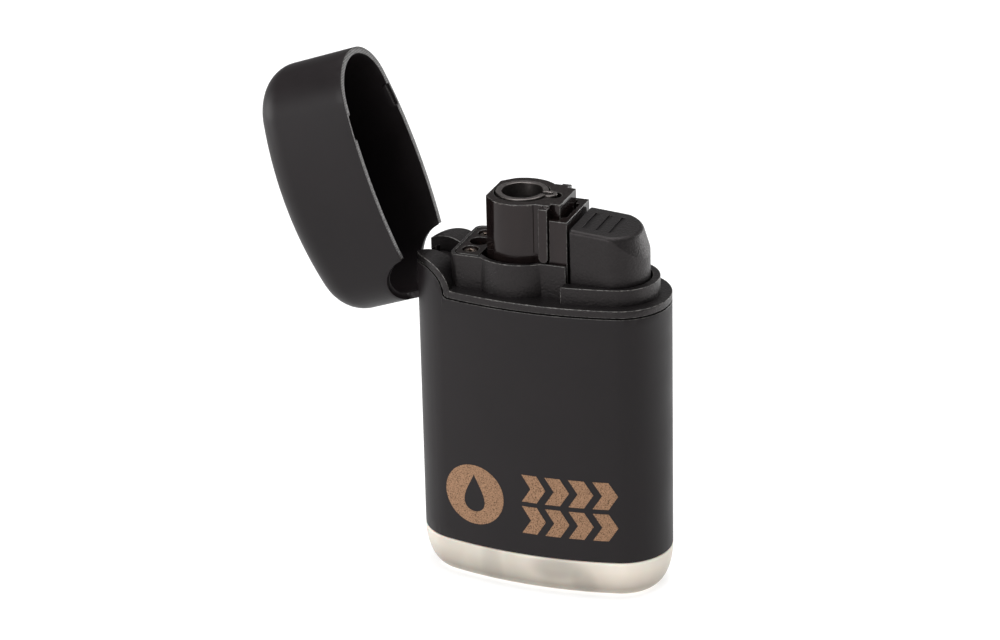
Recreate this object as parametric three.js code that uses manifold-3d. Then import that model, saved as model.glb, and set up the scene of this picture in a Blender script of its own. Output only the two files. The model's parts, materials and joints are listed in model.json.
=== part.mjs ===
// Pocket jet lighter with a flip lid: piezo ignition, refillable butane tank.
// Millimetres. Origin at the centre of the flat base, +Z up, hinge at -X, thumb button at +X, front at -Y.
// The lid stands open at its stop.
import * as THREE from "three";
import { mergeVertices } from "three/addons/utils/BufferGeometryUtils.js";
import Module from "manifold-3d";

const wasm = await Module();
wasm.setup();

// ---------- driving dimensions ----------
const width = 36;
const depth = 16.9;
const endRadius = 7.2;
const deckHeight = 43.75;
const closedHeight = 58.72;

const footHeight = 5.85;
const footRounding = 2.8;
const sleeveBottom = 6;
const sleeveWall = 0.9;
const grooveWidth = 0.22;
const bandHeight = 1.03;
const skirtInset = sleeveWall + 0.3;
const skirtWall = 1.2;
const skirtBottom = 34;
const deckThickness = 1.8;
const slack = 0.3;

const hinge = { x: -15.45, z: 43.04 };
const lidOpenAngle = 109.6;
const lidRimHeight = deckHeight + 0.15;
const lidWall = 0.95;
const lidRoof = 1.1;
const lidRoundAcross = 3.5;
const lidRoundDown = 3.9;
const lidCrown = 1.2;
const lidNotchRadius = 4.96;
const rimRecessLeft = 7.3;
const rimRecessRight = 10.6;
const rimRecessHeight = 0.4;
const rimRecessInset = 0.45;
const earRadius = 4.45;
const earFillet = 0.3;
const sleeveEarRadius = 3.2;
const sleeveEarFillet = 0.7;
const earCheek = 3;
const knuckleRadius = 2.4;
const knuckleHalfWidth = 2.2;
const earGap = 2.45;
const pinRadius = 0.9;
const pinHalfLength = 3.8;
const boreSlack = 0.15;
const tongueSlotBottom = 39.2;
const stripBottom = 28.2;
const stripInset = 0.1;
const stripGap = 0.15;

const nozzleX = -2.95;
const housingHeight = 4.75;
const housingBulge = 6.85;
const housingWallY = 5.2;
const housingRight = 5;
const blockLeft = -11.75;
const blockHalfWidth = 5.5;
const wellRadius = 6.15;
const wellLeft = -7.5;
const collarHeight = 2.35;
const collarInset = 1.6;
const collarLeft = 5.1;

const towerHeight = 12.8;
const towerFoot = 40;
const towerRadius = 5.15;
const towerLeft = -7.15;
const towerFlatHalf = 2.85;
const ribLeft = 0.95;
const ribRight = 2.4;
const tabRight = 3.65;
const tabHalfWidth = 3.2;
const tubeBottom = 46.3;
const tubeRadius = 3.6;
const tubeBore = 2.8;
const lobeOffset = 4;
const lobeRadius = 1;
const lobeSlotHalf = 0.5;
const bracketHeight = 10.9;
const bracketFoot = 40.3;
const bracketLeft = 2.5;
const bracketRight = 5.05;
const bracketHalfWidth = 4.55;

const buttonLeft = 5.4;
const buttonHalfWidth = 4.7;
const buttonEndX = 15.05;
const buttonHeight = 9.9;
const buttonTopSlope = 0.0775;
const buttonBottom = 42;
const buttonWall = 1;
const creaseHeight = 5.69;
const creaseSlope = 0.92;
const creaseLean = 0.24;
const gripPlaces = [6.6, 8.45, 10.28];
const gripHalfWidth = 2.75;
const gripDepth = 0.18;
const gripLength = 0.8;

const tankTop = 24;
const coverBottom = 24.8;
const coverTop = 26.3;
const leverPivot = { x: 1.6, z: 30.7 };
const piezoX = 10.2;
const adjusterX = -9.3;
const plateHoleRadius = 1.4;
const screwX = -9.5;
const screwY = 3;
const screwHeadRadius = 1;
const fillX = -8.5;
const fillRecessRadius = 2.35;

// A level higher than every part, for cutters that run out through the top.
const above = closedHeight + 5;

const halfWidth = width / 2;
const endCentreX = halfWidth - endRadius;
const sideRadius = (endCentreX ** 2 + depth ** 2 / 4 - endRadius ** 2) / (depth - 2 * endRadius);
const sideCentreY = sideRadius - depth / 2;
const endArcAngle = Math.atan2(sideCentreY, endCentreX);

// ---------- solids ----------
function solidOf(geometry) {
  const bare = geometry.clone();
  bare.deleteAttribute("normal");
  bare.deleteAttribute("uv");
  const merged = mergeVertices(bare, 1e-4);
  const vertProperties = new Float32Array(merged.attributes.position.array);
  const triVerts = new Uint32Array(merged.index.array);
  return new wasm.Manifold(new wasm.Mesh({ numProp: 3, vertProperties, triVerts }));
}

function geometryOf(solid) {
  const mesh = solid.getMesh();
  const geometry = new THREE.BufferGeometry();
  geometry.setAttribute("position", new THREE.BufferAttribute(mesh.vertProperties, 3));
  geometry.setIndex(new THREE.BufferAttribute(mesh.triVerts, 1));
  geometry.computeVertexNormals();
  return geometry;
}

function joined(first, ...others) {
  return others.reduce((sum, other) => sum.add(other), first);
}

function cut(body, ...tools) {
  return tools.reduce((left, tool) => left.subtract(tool), body);
}

function box(x0, x1, y0, y1, z0, z1) {
  const geometry = new THREE.BoxGeometry(x1 - x0, y1 - y0, z1 - z0);
  geometry.translate((x0 + x1) / 2, (y0 + y1) / 2, (z0 + z1) / 2);
  return solidOf(geometry);
}

function rod(radius, z0, z1, x = 0, y = 0, segments = 16) {
  const geometry = new THREE.CylinderGeometry(radius, radius, z1 - z0, segments);
  geometry.rotateX(Math.PI / 2);
  geometry.translate(x, y, (z0 + z1) / 2);
  return solidOf(geometry);
}

function rodAcross(radius, halfLength, x, z, segments = 24) {
  const geometry = new THREE.CylinderGeometry(radius, radius, 2 * halfLength, segments);
  geometry.translate(x, 0, z);
  return solidOf(geometry);
}

function prism(shape, z0, z1, curveSegments = 12) {
  const geometry = new THREE.ExtrudeGeometry(shape, { depth: z1 - z0, bevelEnabled: false, curveSegments });
  geometry.translate(0, 0, z0);
  return solidOf(geometry);
}

// A side outline drawn in X and Z, carried through the whole depth of the lighter.
function sideCut(shape, halfDepth = depth) {
  const options = { depth: 2 * halfDepth, bevelEnabled: false, curveSegments: 12 };
  const geometry = new THREE.ExtrudeGeometry(shape, options);
  geometry.rotateX(Math.PI / 2);
  geometry.translate(0, halfDepth, 0);
  return solidOf(geometry);
}

function turned(points, x, y = 0, segments = 16) {
  const profile = points.map(([radius, z]) => new THREE.Vector2(radius, z));
  const geometry = new THREE.LatheGeometry(profile, segments);
  geometry.rotateX(Math.PI / 2);
  geometry.translate(x, y, 0);
  return solidOf(geometry);
}

class Helix extends THREE.Curve {
  constructor(x, radius, z0, z1, turns) {
    super();
    Object.assign(this, { x, radius, z0, z1, turns });
  }

  getPoint(t, target = new THREE.Vector3()) {
    const angle = 2 * Math.PI * this.turns * t;
    const z = THREE.MathUtils.lerp(this.z0, this.z1, t);
    return target.set(this.x + this.radius * Math.cos(angle), this.radius * Math.sin(angle), z);
  }
}

// A full circle is drawn with twice as many sides as its curve segments.
function sweep(path, radius, sides, steps) {
  const section = new THREE.Shape();
  section.absarc(0, 0, radius, 0, 2 * Math.PI);
  const options = { steps, extrudePath: path, curveSegments: sides / 2, bevelEnabled: false };
  return new THREE.ExtrudeGeometry(section, options);
}

function coil(x, radius, wire, z0, z1, turns) {
  const path = new Helix(x, radius, z0 + wire, z1 - wire, turns);
  return solidOf(sweep(path, wire, 6, turns * 10));
}

// ---------- the lighter's outline: two end arcs and two shallow side arcs ----------
const endSteps = 6;
const sideSteps = 4;

function arcPoints(cx, cy, radius, from, to, steps) {
  return Array.from({ length: steps }, (_, i) => {
    const angle = THREE.MathUtils.lerp(from, to, i / steps);
    return new THREE.Vector2(cx + radius * Math.cos(angle), cy + radius * Math.sin(angle));
  });
}

function outlinePoints(inset) {
  const end = endRadius - inset;
  const side = sideRadius - inset;
  const back = [
    ...arcPoints(endCentreX, 0, end, 0, endArcAngle, endSteps),
    ...arcPoints(0, -sideCentreY, side, endArcAngle, Math.PI - endArcAngle, sideSteps),
    ...arcPoints(-endCentreX, 0, end, Math.PI - endArcAngle, Math.PI, endSteps),
  ];
  const front = back.map((point) => new THREE.Vector2(-point.x, -point.y));
  return [...back, ...front];
}

function outlinePrism(inset, z0, z1) {
  return prism(new THREE.Shape(outlinePoints(inset)), z0, z1);
}

// A closed solid through rings of 3D points from the bottom up. Every ring starts on the X axis,
// runs counter-clockwise and mirrors itself in Y, so that each end face closes in strips across Y.
function stack(rings) {
  const count = rings[0].length;
  const positions = rings.flat().flatMap((point) => [point.x, point.y, point.z]);
  const triangles = [];
  for (let level = 0; level + 1 < rings.length; level += 1) {
    for (let i = 0; i < count; i += 1) {
      const a = level * count + i;
      const b = level * count + ((i + 1) % count);
      triangles.push(a, b, b + count, a, b + count, a + count);
    }
  }
  const top = (rings.length - 1) * count;
  for (let i = 0; i < count / 2; i += 1) {
    const mirror = (count - i) % count;
    const nextMirror = count - i - 1;
    triangles.push(top + i, top + i + 1, top + nextMirror);
    triangles.push(i, nextMirror, i + 1);
    if (i > 0) {
      triangles.push(top + i, top + nextMirror, top + mirror);
      triangles.push(i, mirror, nextMirror);
    }
  }
  const geometry = new THREE.BufferGeometry();
  geometry.setAttribute("position", new THREE.Float32BufferAttribute(positions, 3));
  geometry.setIndex(triangles.filter((_, i) => !isFlat(triangles, i)));
  return solidOf(geometry);
}

// True for a corner of a triangle that names one point twice.
function isFlat(triangles, i) {
  const first = i - (i % 3);
  const [a, b, c] = triangles.slice(first, first + 3);
  return a === b || b === c || a === c;
}

function ring(inset, z, crown = 0) {
  return outlinePoints(inset).map(({ x, y }) => new THREE.Vector3(x, y, z - crown * (x / halfWidth) ** 2));
}

// ---------- the hinge end seen from the front ----------
// A level edge that sweeps up through a small fillet into a round ear about the hinge pin.
function earSide(level, radius, fillet, bottom) {
  const rise = level + fillet - hinge.z;
  const filletX = hinge.x + Math.sqrt((radius + fillet) ** 2 - rise ** 2);
  const meet = Math.atan2(rise, filletX - hinge.x);
  const shape = new THREE.Shape();
  shape.moveTo(hinge.x - radius, bottom);
  shape.lineTo(width, bottom);
  shape.lineTo(width, level);
  shape.lineTo(filletX, level);
  shape.absarc(filletX, level + fillet, fillet, -Math.PI / 2, meet - Math.PI, true);
  shape.absarc(hinge.x, hinge.z, radius, meet, Math.PI, false);
  return sideCut(shape);
}

function endSlot(halfWidthY, bottom) {
  return box(-width, hinge.x, -halfWidthY, halfWidthY, bottom, closedHeight);
}

// A strip of the frame that fills the lower part of the sleeve's slot, nearly flush.
function hingeStrip() {
  const halfWidthY = earGap + 0.05 - stripGap;
  const inner = outlinePrism(skirtInset + skirtWall, 0, above);
  return outlinePrism(stripInset, stripBottom + stripGap, tongueSlotBottom)
    .subtract(inner)
    .intersect(endSlot(halfWidthY, 0));
}

// ---------- outer pieces ----------
function lidLayer(inset, across, down, height, crown, bottom) {
  const steps = 6;
  const rings = [ring(inset, bottom)];
  for (let k = 0; k <= steps; k += 1) {
    const angle = (k / steps) * (Math.PI / 2);
    const z = height - down + down * Math.sin(angle);
    rings.push(ring(inset + across * (1 - Math.cos(angle)), z, crown));
  }
  return stack(rings);
}

function lidShell() {
  const outside = lidLayer(0, lidRoundAcross, lidRoundDown, closedHeight, lidCrown, lidRimHeight);
  const inside = lidLayer(
    lidWall,
    lidRoundAcross - 0.6,
    lidRoundDown - 0.7,
    closedHeight - lidRoof,
    lidCrown - 0.1,
    lidRimHeight - 1,
  );
  const rimRecess = outlinePrism(rimRecessInset, lidRimHeight - 1, lidRimHeight + rimRecessHeight)
    .intersect(box(rimRecessLeft, rimRecessRight, -depth, depth, 0, above));
  const notch = rodAcross(lidNotchRadius, depth, hinge.x, hinge.z, 48);
  const tongueWall = outlinePrism(0, hinge.z, hinge.z + 5.2).subtract(outlinePrism(lidWall, 0, above));
  const tongue = tongueWall.intersect(box(-width, hinge.x, -knuckleHalfWidth, knuckleHalfWidth, 0, above));
  const knuckle = rodAcross(knuckleRadius, knuckleHalfWidth, hinge.x, hinge.z);
  const bore = rodAcross(pinRadius + boreSlack, depth, hinge.x, hinge.z, 16);
  return joined(cut(outside, inside, rimRecess, notch), tongue, knuckle).subtract(bore);
}

function outerSleeve() {
  const tube = outlinePrism(0, sleeveBottom, closedHeight).subtract(outlinePrism(sleeveWall, 0, above));
  const level = deckHeight - bandHeight - grooveWidth;
  const side = earSide(level, sleeveEarRadius, sleeveEarFillet, sleeveBottom);
  const pinEnds = rodAcross(pinRadius + boreSlack, pinHalfLength + boreSlack, hinge.x, hinge.z, 16);
  return cut(tube.intersect(side), endSlot(earGap + 0.05, stripBottom), pinEnds);
}

function fuelTank() {
  const steps = 6;
  const rings = [];
  for (let k = 0; k <= steps; k += 1) {
    const angle = (k / steps) * (Math.PI / 2);
    rings.push(ring(footRounding * (1 - Math.sin(angle)), footHeight * (1 - Math.cos(angle))));
  }
  const foot = stack(rings);
  const neck = outlinePrism(skirtInset, footHeight - 1, tankTop);
  const hollow = outlinePrism(skirtInset + 1.3, 1.8, tankTop + 1);
  const lowerHollow = outlinePrism(footRounding + 1, 1.8, 5);
  const hollowUpper = hollow.intersect(box(-width, width, -depth, depth, 5, tankTop + 1));
  const fillBoss = rod(3.5, 1, 7.6, fillX);
  return cut(foot.add(neck), lowerHollow, hollowUpper)
    .add(fillBoss)
    .subtract(rod(fillRecessRadius, -1, 9, fillX));
}

// ---------- top frame ----------
function blockShape(inset) {
  const left = blockLeft + inset;
  const half = blockHalfWidth - inset;
  const corner = 1.2 - inset / 2;
  const shape = new THREE.Shape();
  shape.moveTo(nozzleX, -half);
  shape.lineTo(nozzleX, half);
  shape.lineTo(left + corner, half);
  shape.absarc(left + corner, half - corner, corner, Math.PI / 2, Math.PI, false);
  shape.absarc(left + corner, corner - half, corner, Math.PI, 1.5 * Math.PI, false);
  return shape;
}

// A straight-sided slot with a half-round right end.
function buttonShape(left, half, endX) {
  const shape = new THREE.Shape();
  shape.moveTo(left, -half);
  shape.lineTo(endX - half, -half);
  shape.absarc(endX - half, 0, half, -Math.PI / 2, Math.PI / 2, false);
  shape.lineTo(left, half);
  return shape;
}

function plateRecess(inset, z0, z1) {
  const leftOfWell = box(-width, wellLeft + 0.5 - inset, -depth, depth, 0, above);
  return prism(blockShape(inset), z0, z1, 4).intersect(leftOfWell);
}

function topFrame() {
  const groove = deckHeight - bandHeight;
  const top = earSide(deckHeight, earRadius, earFillet, skirtBottom - 1);
  const belowGroove = earSide(groove, sleeveEarRadius + grooveWidth, sleeveEarFillet - 0.05, 0);
  const core = outlinePrism(skirtInset, skirtBottom, closedHeight).intersect(top);
  const cheek = box(-width, hinge.x, -earCheek, earCheek, groove, above)
    .subtract(earSide(groove - grooveWidth + 0.03, sleeveEarRadius + 0.03, sleeveEarFillet, 0));
  const bandTool = cut(belowGroove, cheek);
  const band = outlinePrism(0, skirtBottom, closedHeight).intersect(top).subtract(bandTool);

  const wallTop = deckHeight + housingHeight;
  const housing = joined(
    prism(blockShape(0), deckHeight - 1, wallTop, 4),
    rod(housingBulge, deckHeight - 1, wallTop, nozzleX, 0, 36),
    box(nozzleX, housingRight, -housingWallY, housingWallY, deckHeight - 1, wallTop),
  );
  const collar = outlinePrism(collarInset, deckHeight - 1, deckHeight + collarHeight)
    .intersect(box(collarLeft, width, -depth, depth, 0, above));

  const deckUnder = deckHeight - deckThickness;
  const wellBottom = skirtBottom - 1;
  const towerWell = rod(wellRadius, wellBottom, above, nozzleX, 0, 36)
    .intersect(box(wellLeft, width, -depth, depth, 0, above));
  const bracketWell = box(0, bracketRight + 0.3, -4.75, 4.75, wellBottom, above);
  const buttonSpace = buttonShape(housingRight, buttonHalfWidth + 0.25, buttonEndX + 0.3);
  const buttonWell = prism(buttonSpace, wellBottom, above);
  const hollowInset = skirtInset + skirtWall;
  const hollow = outlinePrism(hollowInset, wellBottom, 38.6);
  const upperHollow = outlinePrism(hollowInset, 38, deckUnder)
    .intersect(box(-12, width, -depth, depth, 0, above));

  const knucklePocket = rodAcross(knuckleRadius + 0.35, earGap, hinge.x, hinge.z);
  const earSpace = box(-width, hinge.x + knuckleRadius + 0.35, -earGap, earGap, hinge.z, above);
  const pinBore = rodAcross(pinRadius + boreSlack, pinHalfLength + boreSlack, hinge.x, hinge.z, 16);
  const springPocket = box(-16, -9, -1.8, 1.8, 38, 40.4);

  const screwBores = [-screwY, screwY].map((y) => rod(0.85, deckUnder - 1, above, screwX, y, 12));
  const adjusterBore = rod(1.45, wellBottom, above, adjusterX, 0, 20);
  return cut(
    joined(core, band, housing, collar, hingeStrip()),
    towerWell,
    bracketWell,
    buttonWell,
    hollow,
    upperHollow,
    knucklePocket,
    earSpace,
    endSlot(earGap, tongueSlotBottom),
    pinBore,
    springPocket,
    plateRecess(0.45, wallTop - 1.8, above),
    adjusterBore,
    ...screwBores,
  );
}

function valveCoverPlate() {
  const top = deckHeight + housingHeight;
  const plate = plateRecess(0.6, top - 1.6, top);
  const seats = [-screwY, screwY].map((y) => rod(1.15, top - 1.1, above, screwX, y));
  const holes = [-screwY, screwY].map((y) => rod(0.8, 0, above, screwX, y, 12));
  return cut(plate, rod(plateHoleRadius, 0, above, adjusterX), ...seats, ...holes);
}

function coverScrew(y) {
  const headTop = deckHeight + housingHeight - 0.2;
  const headUnder = headTop - 0.8;
  const shank = 0.65;
  const profile = [[0, 43], [shank, 43.6], [shank, headUnder], [screwHeadRadius, headUnder]];
  const screw = turned([...profile, [screwHeadRadius, headTop], [0, headTop]], screwX, y);
  const slots = [[0.6, 0.17], [0.17, 0.6]].map(([halfX, halfY]) =>
    box(screwX - halfX, screwX + halfX, y - halfY, y + halfY, headTop - 0.4, above));
  return cut(screw, ...slots);
}

function flameAdjuster() {
  const head = 46.2;
  const screw = turned(
    [[0, 33.2], [0.7, 33.2], [0.8, 33.6], [0.8, 42.4], [1.3, 42.8], [1.3, head], [0, head]],
    adjusterX,
  );
  return screw.subtract(box(adjusterX - 2, adjusterX + 2, -0.2, 0.2, head - 0.7, above));
}

function hingePin() {
  return rodAcross(pinRadius, pinHalfLength, hinge.x, hinge.z, 16);
}

// A leaf that presses up on the knuckle and holds the lid shut or open.
function lidDetentSpring() {
  const leaf = new THREE.Shape();
  leaf.moveTo(-15.8, 39.3);
  leaf.quadraticCurveTo(-13.8, 40.3, -10.6, 38.9);
  leaf.lineTo(-10.6, 38.65);
  leaf.quadraticCurveTo(-13.8, 40.05, -15.8, 39.05);
  return sideCut(leaf, 1.4);
}

// ---------- burner ----------
function towerShape() {
  const chamferX = -5.5;
  const shoulderY = 4;
  const from = -Math.acos((chamferX - nozzleX) / towerRadius);
  const to = -Math.asin(shoulderY / towerRadius);
  const shape = new THREE.Shape();
  shape.moveTo(towerLeft, towerFlatHalf);
  shape.lineTo(towerLeft, -towerFlatHalf);
  shape.absarc(nozzleX, 0, towerRadius, from, to, false);
  shape.lineTo(ribRight, -shoulderY);
  shape.lineTo(ribRight, shoulderY);
  shape.absarc(nozzleX, 0, towerRadius, -to, -from, false);
  return shape;
}

function keyhole(radius, lobeEnd, lobeHalfWidth, z0, z1) {
  const slot = buttonShape(nozzleX, lobeHalfWidth, nozzleX + lobeEnd);
  return rod(radius, z0, z1, nozzleX, 0, 32).add(prism(slot, z0, z1, 6));
}

function burnerTower() {
  const top = deckHeight + towerHeight;
  const flange = rod(6.6, towerFoot, deckHeight - deckThickness - slack, nozzleX, 0, 32)
    .intersect(box(-8, 3.2, -5.4, 5.4, 0, above));
  const ribs = [[-5, -3.5], [3.5, 5]].map(([near, far]) =>
    box(ribLeft, ribRight, near, far, deckHeight + 5, top - 0.5));
  const tab = box(2, tabRight, -tabHalfWidth, tabHalfWidth, deckHeight + 8.4, top);
  return cut(
    joined(prism(towerShape(), towerFoot, top, 14), flange, ...ribs, tab),
    keyhole(tubeRadius + 0.25, 5.65, lobeRadius + 0.15, 46, above),
    rod(2.3, 0, above, nozzleX),
    rod(0.55, 0, above, nozzleX + lobeOffset, 0, 12),
  );
}

function burnerTube() {
  const top = deckHeight + towerHeight + 0.2;
  const lobe = rod(lobeRadius, tubeBottom, top, nozzleX + lobeOffset, 0, 20);
  const outside = rod(tubeRadius, tubeBottom, top, nozzleX, 0, 40).add(lobe);
  const slotShape = buttonShape(nozzleX, lobeSlotHalf, nozzleX + lobeOffset + lobeSlotHalf);
  return cut(outside, rod(tubeBore, 0, above, nozzleX, 0, 32), prism(slotShape, 0, above, 4));
}

function flameHolder() {
  const disc = rod(2.5, 49, 49.5, nozzleX, 0, 24);
  const holes = Array.from({ length: 6 }, (_, i) => {
    const angle = (i * Math.PI) / 3;
    return rod(0.4, 0, above, nozzleX + 1.5 * Math.cos(angle), 1.5 * Math.sin(angle), 8);
  });
  return cut(disc, rod(0.5, 0, above, nozzleX, 0, 8), ...holes);
}

function gasJet() {
  return turned([
    [1.1, 33.6], [1.7, 33.6], [1.7, 38.4], [3, 38.4], [3, 39.7], [2.1, 39.7], [2.1, 45.7], [1, 46.4],
    [1, 47.6], [0.3, 47.6], [0.3, 43.5], [1.1, 43.5], [1.1, 33.6],
  ], nozzleX);
}

function electrode() {
  return rod(0.28, 38.5, 54.6, nozzleX + lobeOffset, 0, 10);
}

function ignitionLead() {
  const route = new THREE.CatmullRomCurve3([
    new THREE.Vector3(nozzleX + lobeOffset, 0, 38.2),
    new THREE.Vector3(1.5, 1.2, 36.8),
    new THREE.Vector3(3.2, 3.2, 35.6),
    new THREE.Vector3(6, 4.1, 34.4),
    new THREE.Vector3(9, 4.2, 32.2),
    new THREE.Vector3(10, 4.05, 29),
  ]);
  return solidOf(sweep(route, 0.5, 8, 24));
}

function igniterBracket() {
  const top = deckHeight + bracketHeight;
  const lugTop = deckHeight - deckThickness - slack;
  const block = box(bracketLeft, bracketRight, -bracketHalfWidth, bracketHalfWidth, bracketFoot, top);
  const lug = box(3.5, bracketRight, -5.4, 5.4, bracketFoot, lugTop);
  const tabPocket = box(0, tabRight + 0.3, -3.8, 3.8, deckHeight + 8.1, above);
  const relief = box(0, 4.5, -2.6, 2.6, deckHeight + 9.1, above);
  const clearance = box(0, 3.5, -5, 5, bracketFoot - 1, deckHeight - deckThickness);
  return cut(block.add(lug), tabPocket, relief, clearance);
}

// ---------- thumb button ----------
function buttonTop(x) {
  return deckHeight + buttonHeight - buttonTopSlope * (x - buttonLeft);
}

// The round end leans in above a crease that slopes down towards the tip.
function buttonRing(inset, share) {
  const half = buttonHalfWidth - inset;
  const endCentre = buttonEndX - buttonHalfWidth;
  const back = [
    ...arcPoints(endCentre, 0, half, 0, Math.PI / 2, 8),
    new THREE.Vector2(endCentre, half),
    new THREE.Vector2((endCentre + buttonLeft) / 2, half),
    new THREE.Vector2(buttonLeft, half),
    new THREE.Vector2(buttonLeft, half / 2),
    new THREE.Vector2(buttonLeft, 0),
  ];
  const front = back.slice(1, -1).reverse().map(({ x, y }) => new THREE.Vector2(x, -y));
  return [...back, ...front].map(({ x, y }) => {
    const z = THREE.MathUtils.lerp(buttonBottom, buttonTop(x), share);
    const crease = deckHeight + creaseHeight + creaseSlope * (15 - x);
    const lean = x > endCentre ? Math.max(0, creaseLean * (z - crease)) : 0;
    const squeeze = lean / (Math.hypot(x - endCentre, y) || 1);
    return new THREE.Vector3(x - (x - endCentre) * squeeze, y - y * squeeze, z);
  });
}

function gripWedge(x) {
  const wedge = new THREE.Shape();
  wedge.moveTo(x, buttonTop(x) - gripDepth);
  wedge.lineTo(x + gripLength, buttonTop(x + gripLength) + 0.02);
  wedge.lineTo(x, buttonTop(x) + 0.5);
  return sideCut(wedge, gripHalfWidth);
}

function pushButton() {
  const levels = [[0, 0], [0, 0.55], [0, 0.7], [0, 0.82], [0, 0.93], [0.08, 0.965], [0.3, 0.99], [0.6, 1]];
  const body = stack(levels.map(([inset, share]) => buttonRing(inset, share)));
  const inside = buttonShape(buttonLeft + buttonWall, buttonHalfWidth - buttonWall, buttonEndX - buttonWall);
  const hollow = prism(inside, buttonBottom - 1, 50, 8);
  const leg = box(buttonLeft + 0.05, 6.05, -1.5, 1.5, 34.35, buttonBottom + 1);
  return cut(body, hollow, ...gripPlaces.map(gripWedge)).add(leg);
}

// ---------- gas valve and lever ----------
function valveBody() {
  return turned([
    [0.5, 19], [1.9, 19], [1.9, 26.5], [2.9, 26.5], [2.9, 28.6], [0.95, 28.6], [0.95, 27.2], [1.35, 27.2],
    [1.35, 23.2], [0.5, 23.2], [0.5, 19],
  ], nozzleX);
}

function valveStem() {
  const stem = turned([
    [0, 24], [1.15, 24], [1.15, 24.9], [0.75, 24.9], [0.75, 31.5], [1.7, 31.5], [1.7, 32.1], [0.8, 32.1],
    [0.8, 38], [0, 38],
  ], nozzleX);
  return stem.subtract(rod(0.35, 33, above, nozzleX, 0, 10));
}

function valveSeal() {
  return turned([[0, 23.35], [1.1, 23.35], [1.1, 23.85], [0, 23.85]], nozzleX);
}

function valveLever() {
  const arm = box(-9.9, 5.9, -2.2, 2.2, leverPivot.z - 0.5, leverPivot.z + 0.5);
  const hub = rodAcross(1.3, 2.2, leverPivot.x, leverPivot.z, 20);
  const stemSlot = box(nozzleX - 1.5, nozzleX + 1.5, -1.15, 1.15, 0, above);
  return cut(arm.add(hub), stemSlot, rodAcross(0.75, 5, leverPivot.x, leverPivot.z, 14));
}

function leverPin() {
  return rodAcross(0.6, 3.9, leverPivot.x, leverPivot.z, 14);
}

function tankCover() {
  const plate = outlinePrism(skirtInset + 0.1, coverBottom, coverTop);
  const posts = [[-4, -2.6], [2.6, 4]].map(([near, far]) => box(0.4, 2.8, near, far, coverTop - 0.5, 32));
  return cut(
    joined(plate, ...posts),
    rod(2.1, 0, above, nozzleX),
    rodAcross(0.75, 5, leverPivot.x, leverPivot.z, 14),
  );
}

function tankGasket() {
  return outlinePrism(skirtInset + 0.1, tankTop + 0.15, coverBottom - 0.15)
    .subtract(outlinePrism(skirtInset + 1.2, 0, above));
}

function fuelWick() {
  return rod(1.1, 2.4, 18.7, nozzleX, 0, 12);
}

// ---------- piezo igniter ----------
function piezoHousing() {
  const outside = box(piezoX - 3.7, piezoX + 3.7, -3.1, 3.1, 26.6, 38);
  return outside.subtract(box(piezoX - 3.2, piezoX + 3.2, -2.4, 2.4, 27.4, above));
}

function piezoPlunger() {
  const outside = box(piezoX - 2.9, piezoX + 2.9, -2.1, 2.1, 34.5, 49.7);
  return outside.subtract(rod(1.75, 34, 46.4, piezoX, 0, 16));
}

// ---------- filling valve in the base ----------
function fillValveBody() {
  return turned([
    [0.9, 0.4], [2.1, 0.4], [2.1, 8], [0.5, 8], [0.5, 7], [1.35, 7], [1.35, 2.2], [0.9, 2.2], [0.9, 0.4],
  ], fillX);
}

function fillValveStem() {
  return turned([
    [0, 0.8], [0.6, 0.8], [0.6, 2.8], [1.15, 2.8], [1.15, 3.5], [0.5, 3.5], [0.5, 4.6], [0, 4.6],
  ], fillX);
}

function fillValveSeal() {
  return turned([[0.75, 2.3], [1.2, 2.3], [1.2, 2.7], [0.75, 2.7], [0.75, 2.3]], fillX);
}

// ---------- materials ----------
const finish = (color, roughness, metalness = 0) =>
  new THREE.MeshStandardMaterial({ color, roughness, metalness });
const softTouch = finish(0x1b1b1d, 0.75);
const matteBlack = finish(0x222224, 0.6);
const glossBlack = finish(0x18181a, 0.25);
const frosted = finish(0xd8d2c6, 0.5);
const steel = finish(0x8d8f92, 0.35, 1);
const brass = finish(0xb08d4a, 0.35, 1);
const rubber = finish(0x151515, 0.9);
const ceramic = finish(0xe6e2d8, 0.5);
const felt = finish(0xe8e4da, 0.95);
const whitePlastic = finish(0xe2e0da, 0.5);

// ---------- assembly ----------
const group = new THREE.Group();

function place(name, solid, material, parent = group) {
  const mesh = new THREE.Mesh(geometryOf(solid), material);
  mesh.name = name;
  parent.add(mesh);
  return mesh;
}

const lidPivot = new THREE.Group();
lidPivot.position.set(hinge.x, 0, hinge.z);
lidPivot.rotation.y = -THREE.MathUtils.degToRad(lidOpenAngle);
group.add(lidPivot);
place("lid_shell", lidShell(), softTouch, lidPivot).position.set(-hinge.x, 0, -hinge.z);

place("outer_sleeve", outerSleeve(), softTouch);
place("fuel_tank", fuelTank(), frosted);
place("top_frame", topFrame(), matteBlack);
place("valve_cover_plate", valveCoverPlate(), matteBlack);
place("cover_screw_front", coverScrew(-screwY), steel);
place("cover_screw_rear", coverScrew(screwY), steel);
place("flame_adjuster", flameAdjuster(), brass);
place("hinge_pin", hingePin(), steel);
place("lid_detent_spring", lidDetentSpring(), steel);

place("burner_tower", burnerTower(), glossBlack);
place("burner_tube", burnerTube(), steel);
place("flame_holder", flameHolder(), steel);
place("gas_jet", gasJet(), brass);
place("electrode", electrode(), steel);
place("ignition_lead", ignitionLead(), rubber);
place("igniter_bracket", igniterBracket(), glossBlack);
place("push_button", pushButton(), matteBlack);

place("valve_body", valveBody(), brass);
place("valve_stem", valveStem(), brass);
place("valve_seal", valveSeal(), rubber);
place("valve_spring", coil(nozzleX, 1.05, 0.12, 25.05, 27.05, 4), steel);
place("valve_lever", valveLever(), whitePlastic);
place("lever_pin", leverPin(), steel);
place("tank_cover", tankCover(), whitePlastic);
place("tank_gasket", tankGasket(), rubber);
place("fuel_wick", fuelWick(), felt);

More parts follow.
